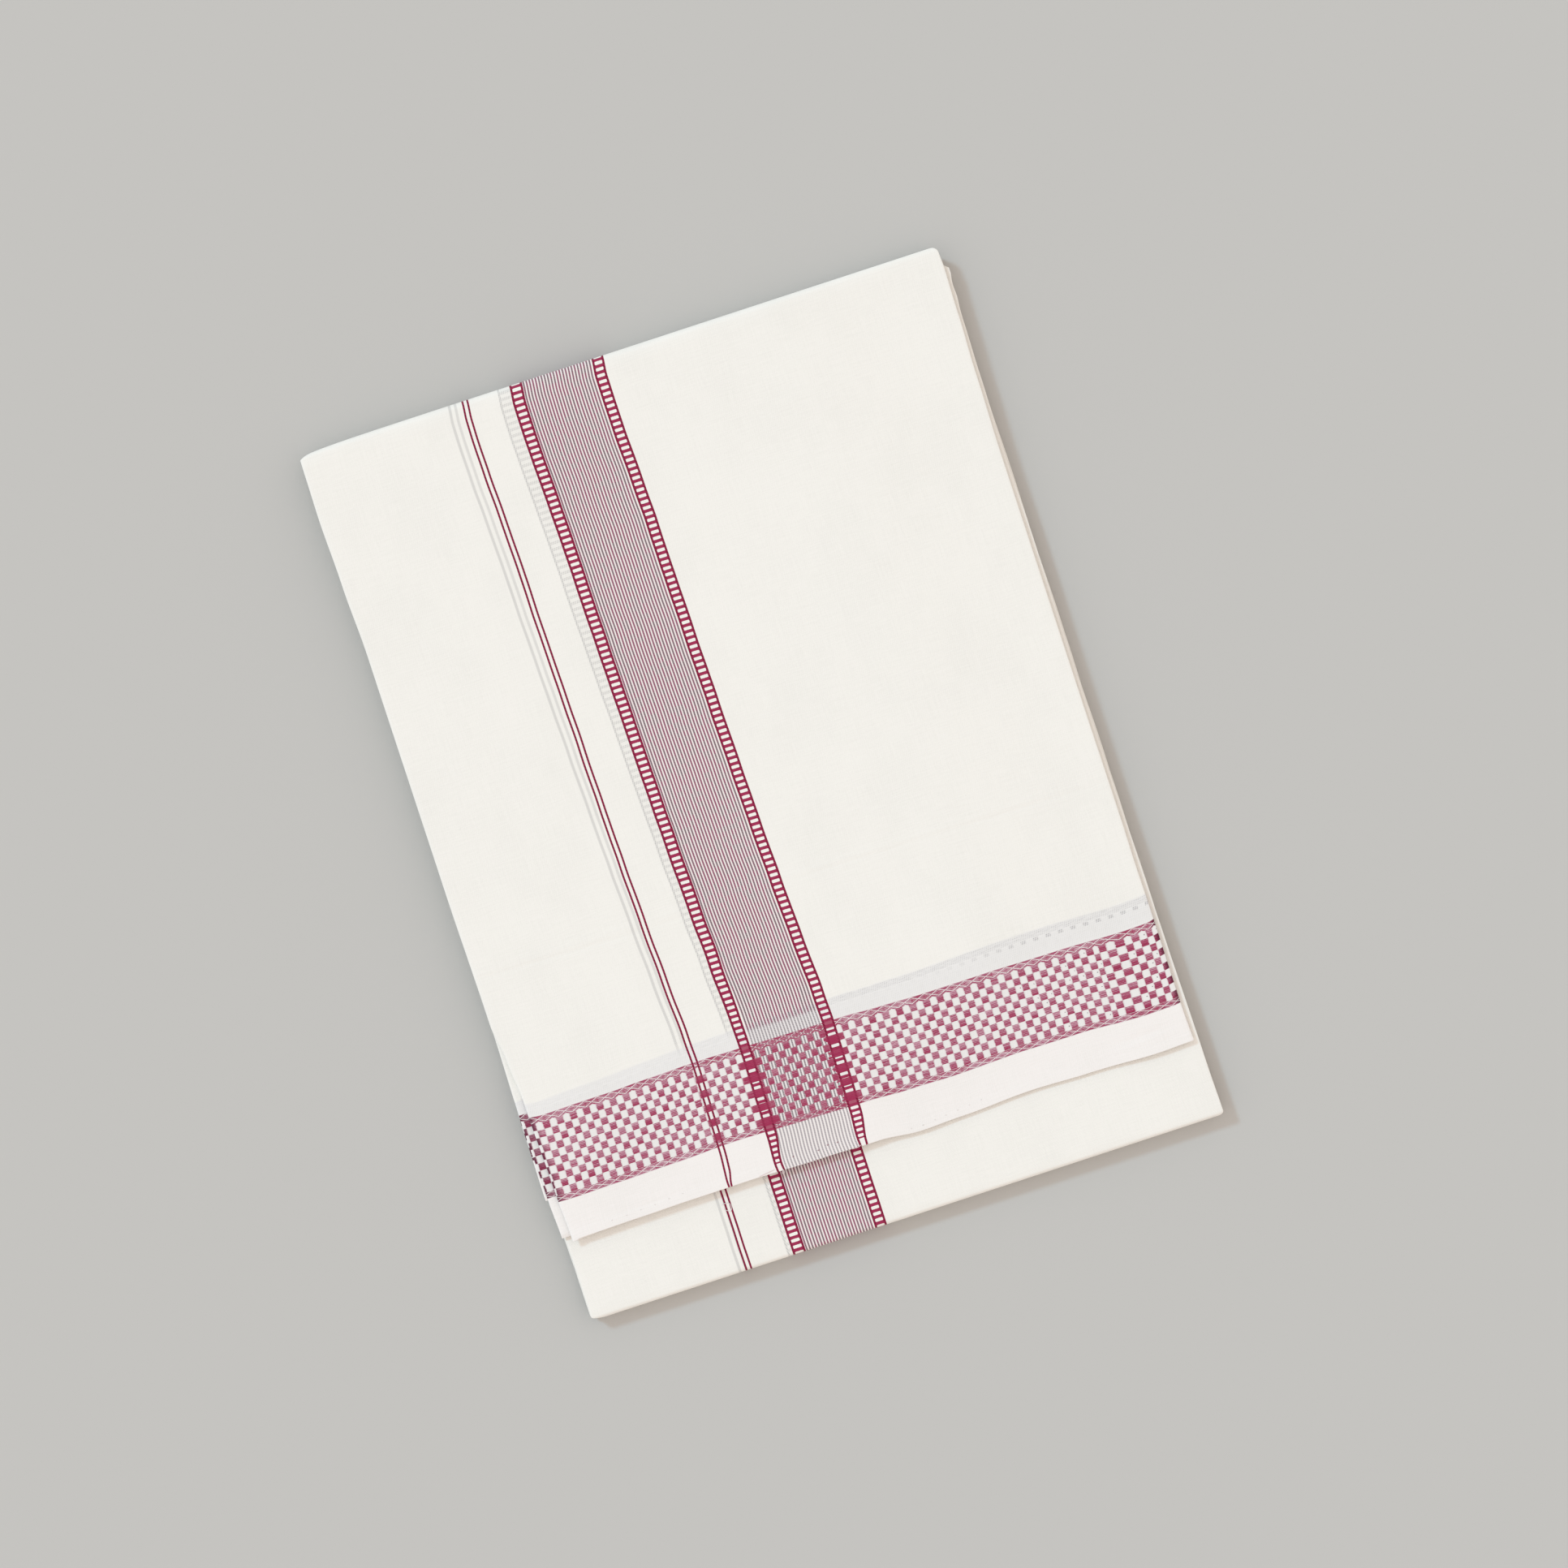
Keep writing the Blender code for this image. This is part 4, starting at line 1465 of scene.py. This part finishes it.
def main():
    cotton = woven("dhoti_cotton")
    top_cotton = woven("dhoti_cotton_over_stripes", GHOST_ACROSS)
    leaf_cotton = woven("dhoti_cotton_lower_leaf", LOWER_GHOST_ACROSS)
    first = pair_legs(0, None, flap_leg())
    second = pair_legs(1, INNER_PLY_END)
    third = pair_legs(2, SECOND_PLY_END)
    fourth = pair_legs(3, THIRD_PLY_END)
    hem = make_hem(top_cotton)
    stitches = make_stitches(cotton_thread("sewing_thread", STITCH_GREY))
    ends = make_loose_ends(cotton_thread("loose_yarn", LOOSE_PINK))
    make_flap(first, top_cotton)
    make_ply("inner_ply_cloth", second, 2, FLUSH_END, cotton, [])
    make_ply("second_ply_cloth", third, 2, ROLLED_END, top_cotton, ["second_ply"])
    make_ply("third_ply_cloth", fourth, 1, ROLLED_END, cotton, ["third_ply"])
    make_lower_leaf(fourth, leaf_cotton, cotton_thread("white_yarn", BOW_WHITE))
    make_inner_leaves(first, second, third, fourth, cotton)


# ---- floor, light and camera ----

# Millimetres a pixel of the frame on the top leaf, and the frame's side in pixels.
SCALE = 0.3293
FRAME_PIXELS = 1932
CAMERA_HEIGHT = 2400.0
CAMERA_PLACE = (8.8, -2.6)
CAMERA_ROLL = -18.15
CAMERA_REACH = (0.01, 50.0)
SENSOR = 36.0

# The floor, in metres: half its side, and how far it lies below the cloth.
FLOOR_HALF = 6.0
FLOOR_DROP = 0.0001
FLOOR_GREY = (0.55, 0.54, 0.52, 1)

# Where the sun stands: its direction in plan, and its height and width in degrees.
SUN_FROM = (-0.62, 0.785)
SUN_HEIGHT = 38.0
SUN_WIDTH = 9.0
SUN_ENERGY = 1.09
SUN_COLOUR = (0.45, 0.78, 1)
SKY_COLOUR = (1, 0.924, 0.868, 1)
SKY_STRENGTH = 0.91


def add_floor():
    mesh = bpy.data.meshes.new("floor")
    signs = ((-1, -1), (1, -1), (1, 1), (-1, 1))
    corners = [(x * FLOOR_HALF, y * FLOOR_HALF, -FLOOR_DROP) for x, y in signs]
    mesh.from_pydata(corners, [], [(0, 1, 2, 3)])
    mesh.materials.append(plain_material("pale_floor", FLOOR_GREY, roughness=1.0))
    placed("floor", mesh)


def add_camera():
    camera = bpy.data.cameras.new("camera")
    camera.lens = SENSOR * (CAMERA_HEIGHT - LEAVES[0][1]) / (SCALE * FRAME_PIXELS)
    camera.sensor_width = SENSOR
    camera.clip_start, camera.clip_end = CAMERA_REACH
    holder = placed("camera", camera)
    holder.location = (CAMERA_PLACE[0] * MM, CAMERA_PLACE[1] * MM, CAMERA_HEIGHT * MM)
    holder.rotation_euler = (0, 0, radians(CAMERA_ROLL))
    bpy.context.scene.camera = holder


def add_light():
    lamp = bpy.data.lights.new("key", "SUN")
    lamp.energy = SUN_ENERGY
    lamp.angle = radians(SUN_WIDTH)
    lamp.color = SUN_COLOUR
    towards = Vector((SUN_FROM[0], SUN_FROM[1], tan(radians(SUN_HEIGHT)))).normalized()
    placed("key", lamp).rotation_euler = towards.to_track_quat("Z", "Y").to_euler()
    world = bpy.data.worlds.new("studio")
    world.use_nodes = True
    background = world.node_tree.nodes["Background"]
    background.inputs["Color"].default_value = SKY_COLOUR
    background.inputs["Strength"].default_value = SKY_STRENGTH
    bpy.context.scene.world = world
    bpy.context.scene.view_settings.view_transform = "Standard"


main()
add_floor()
add_camera()
add_light()
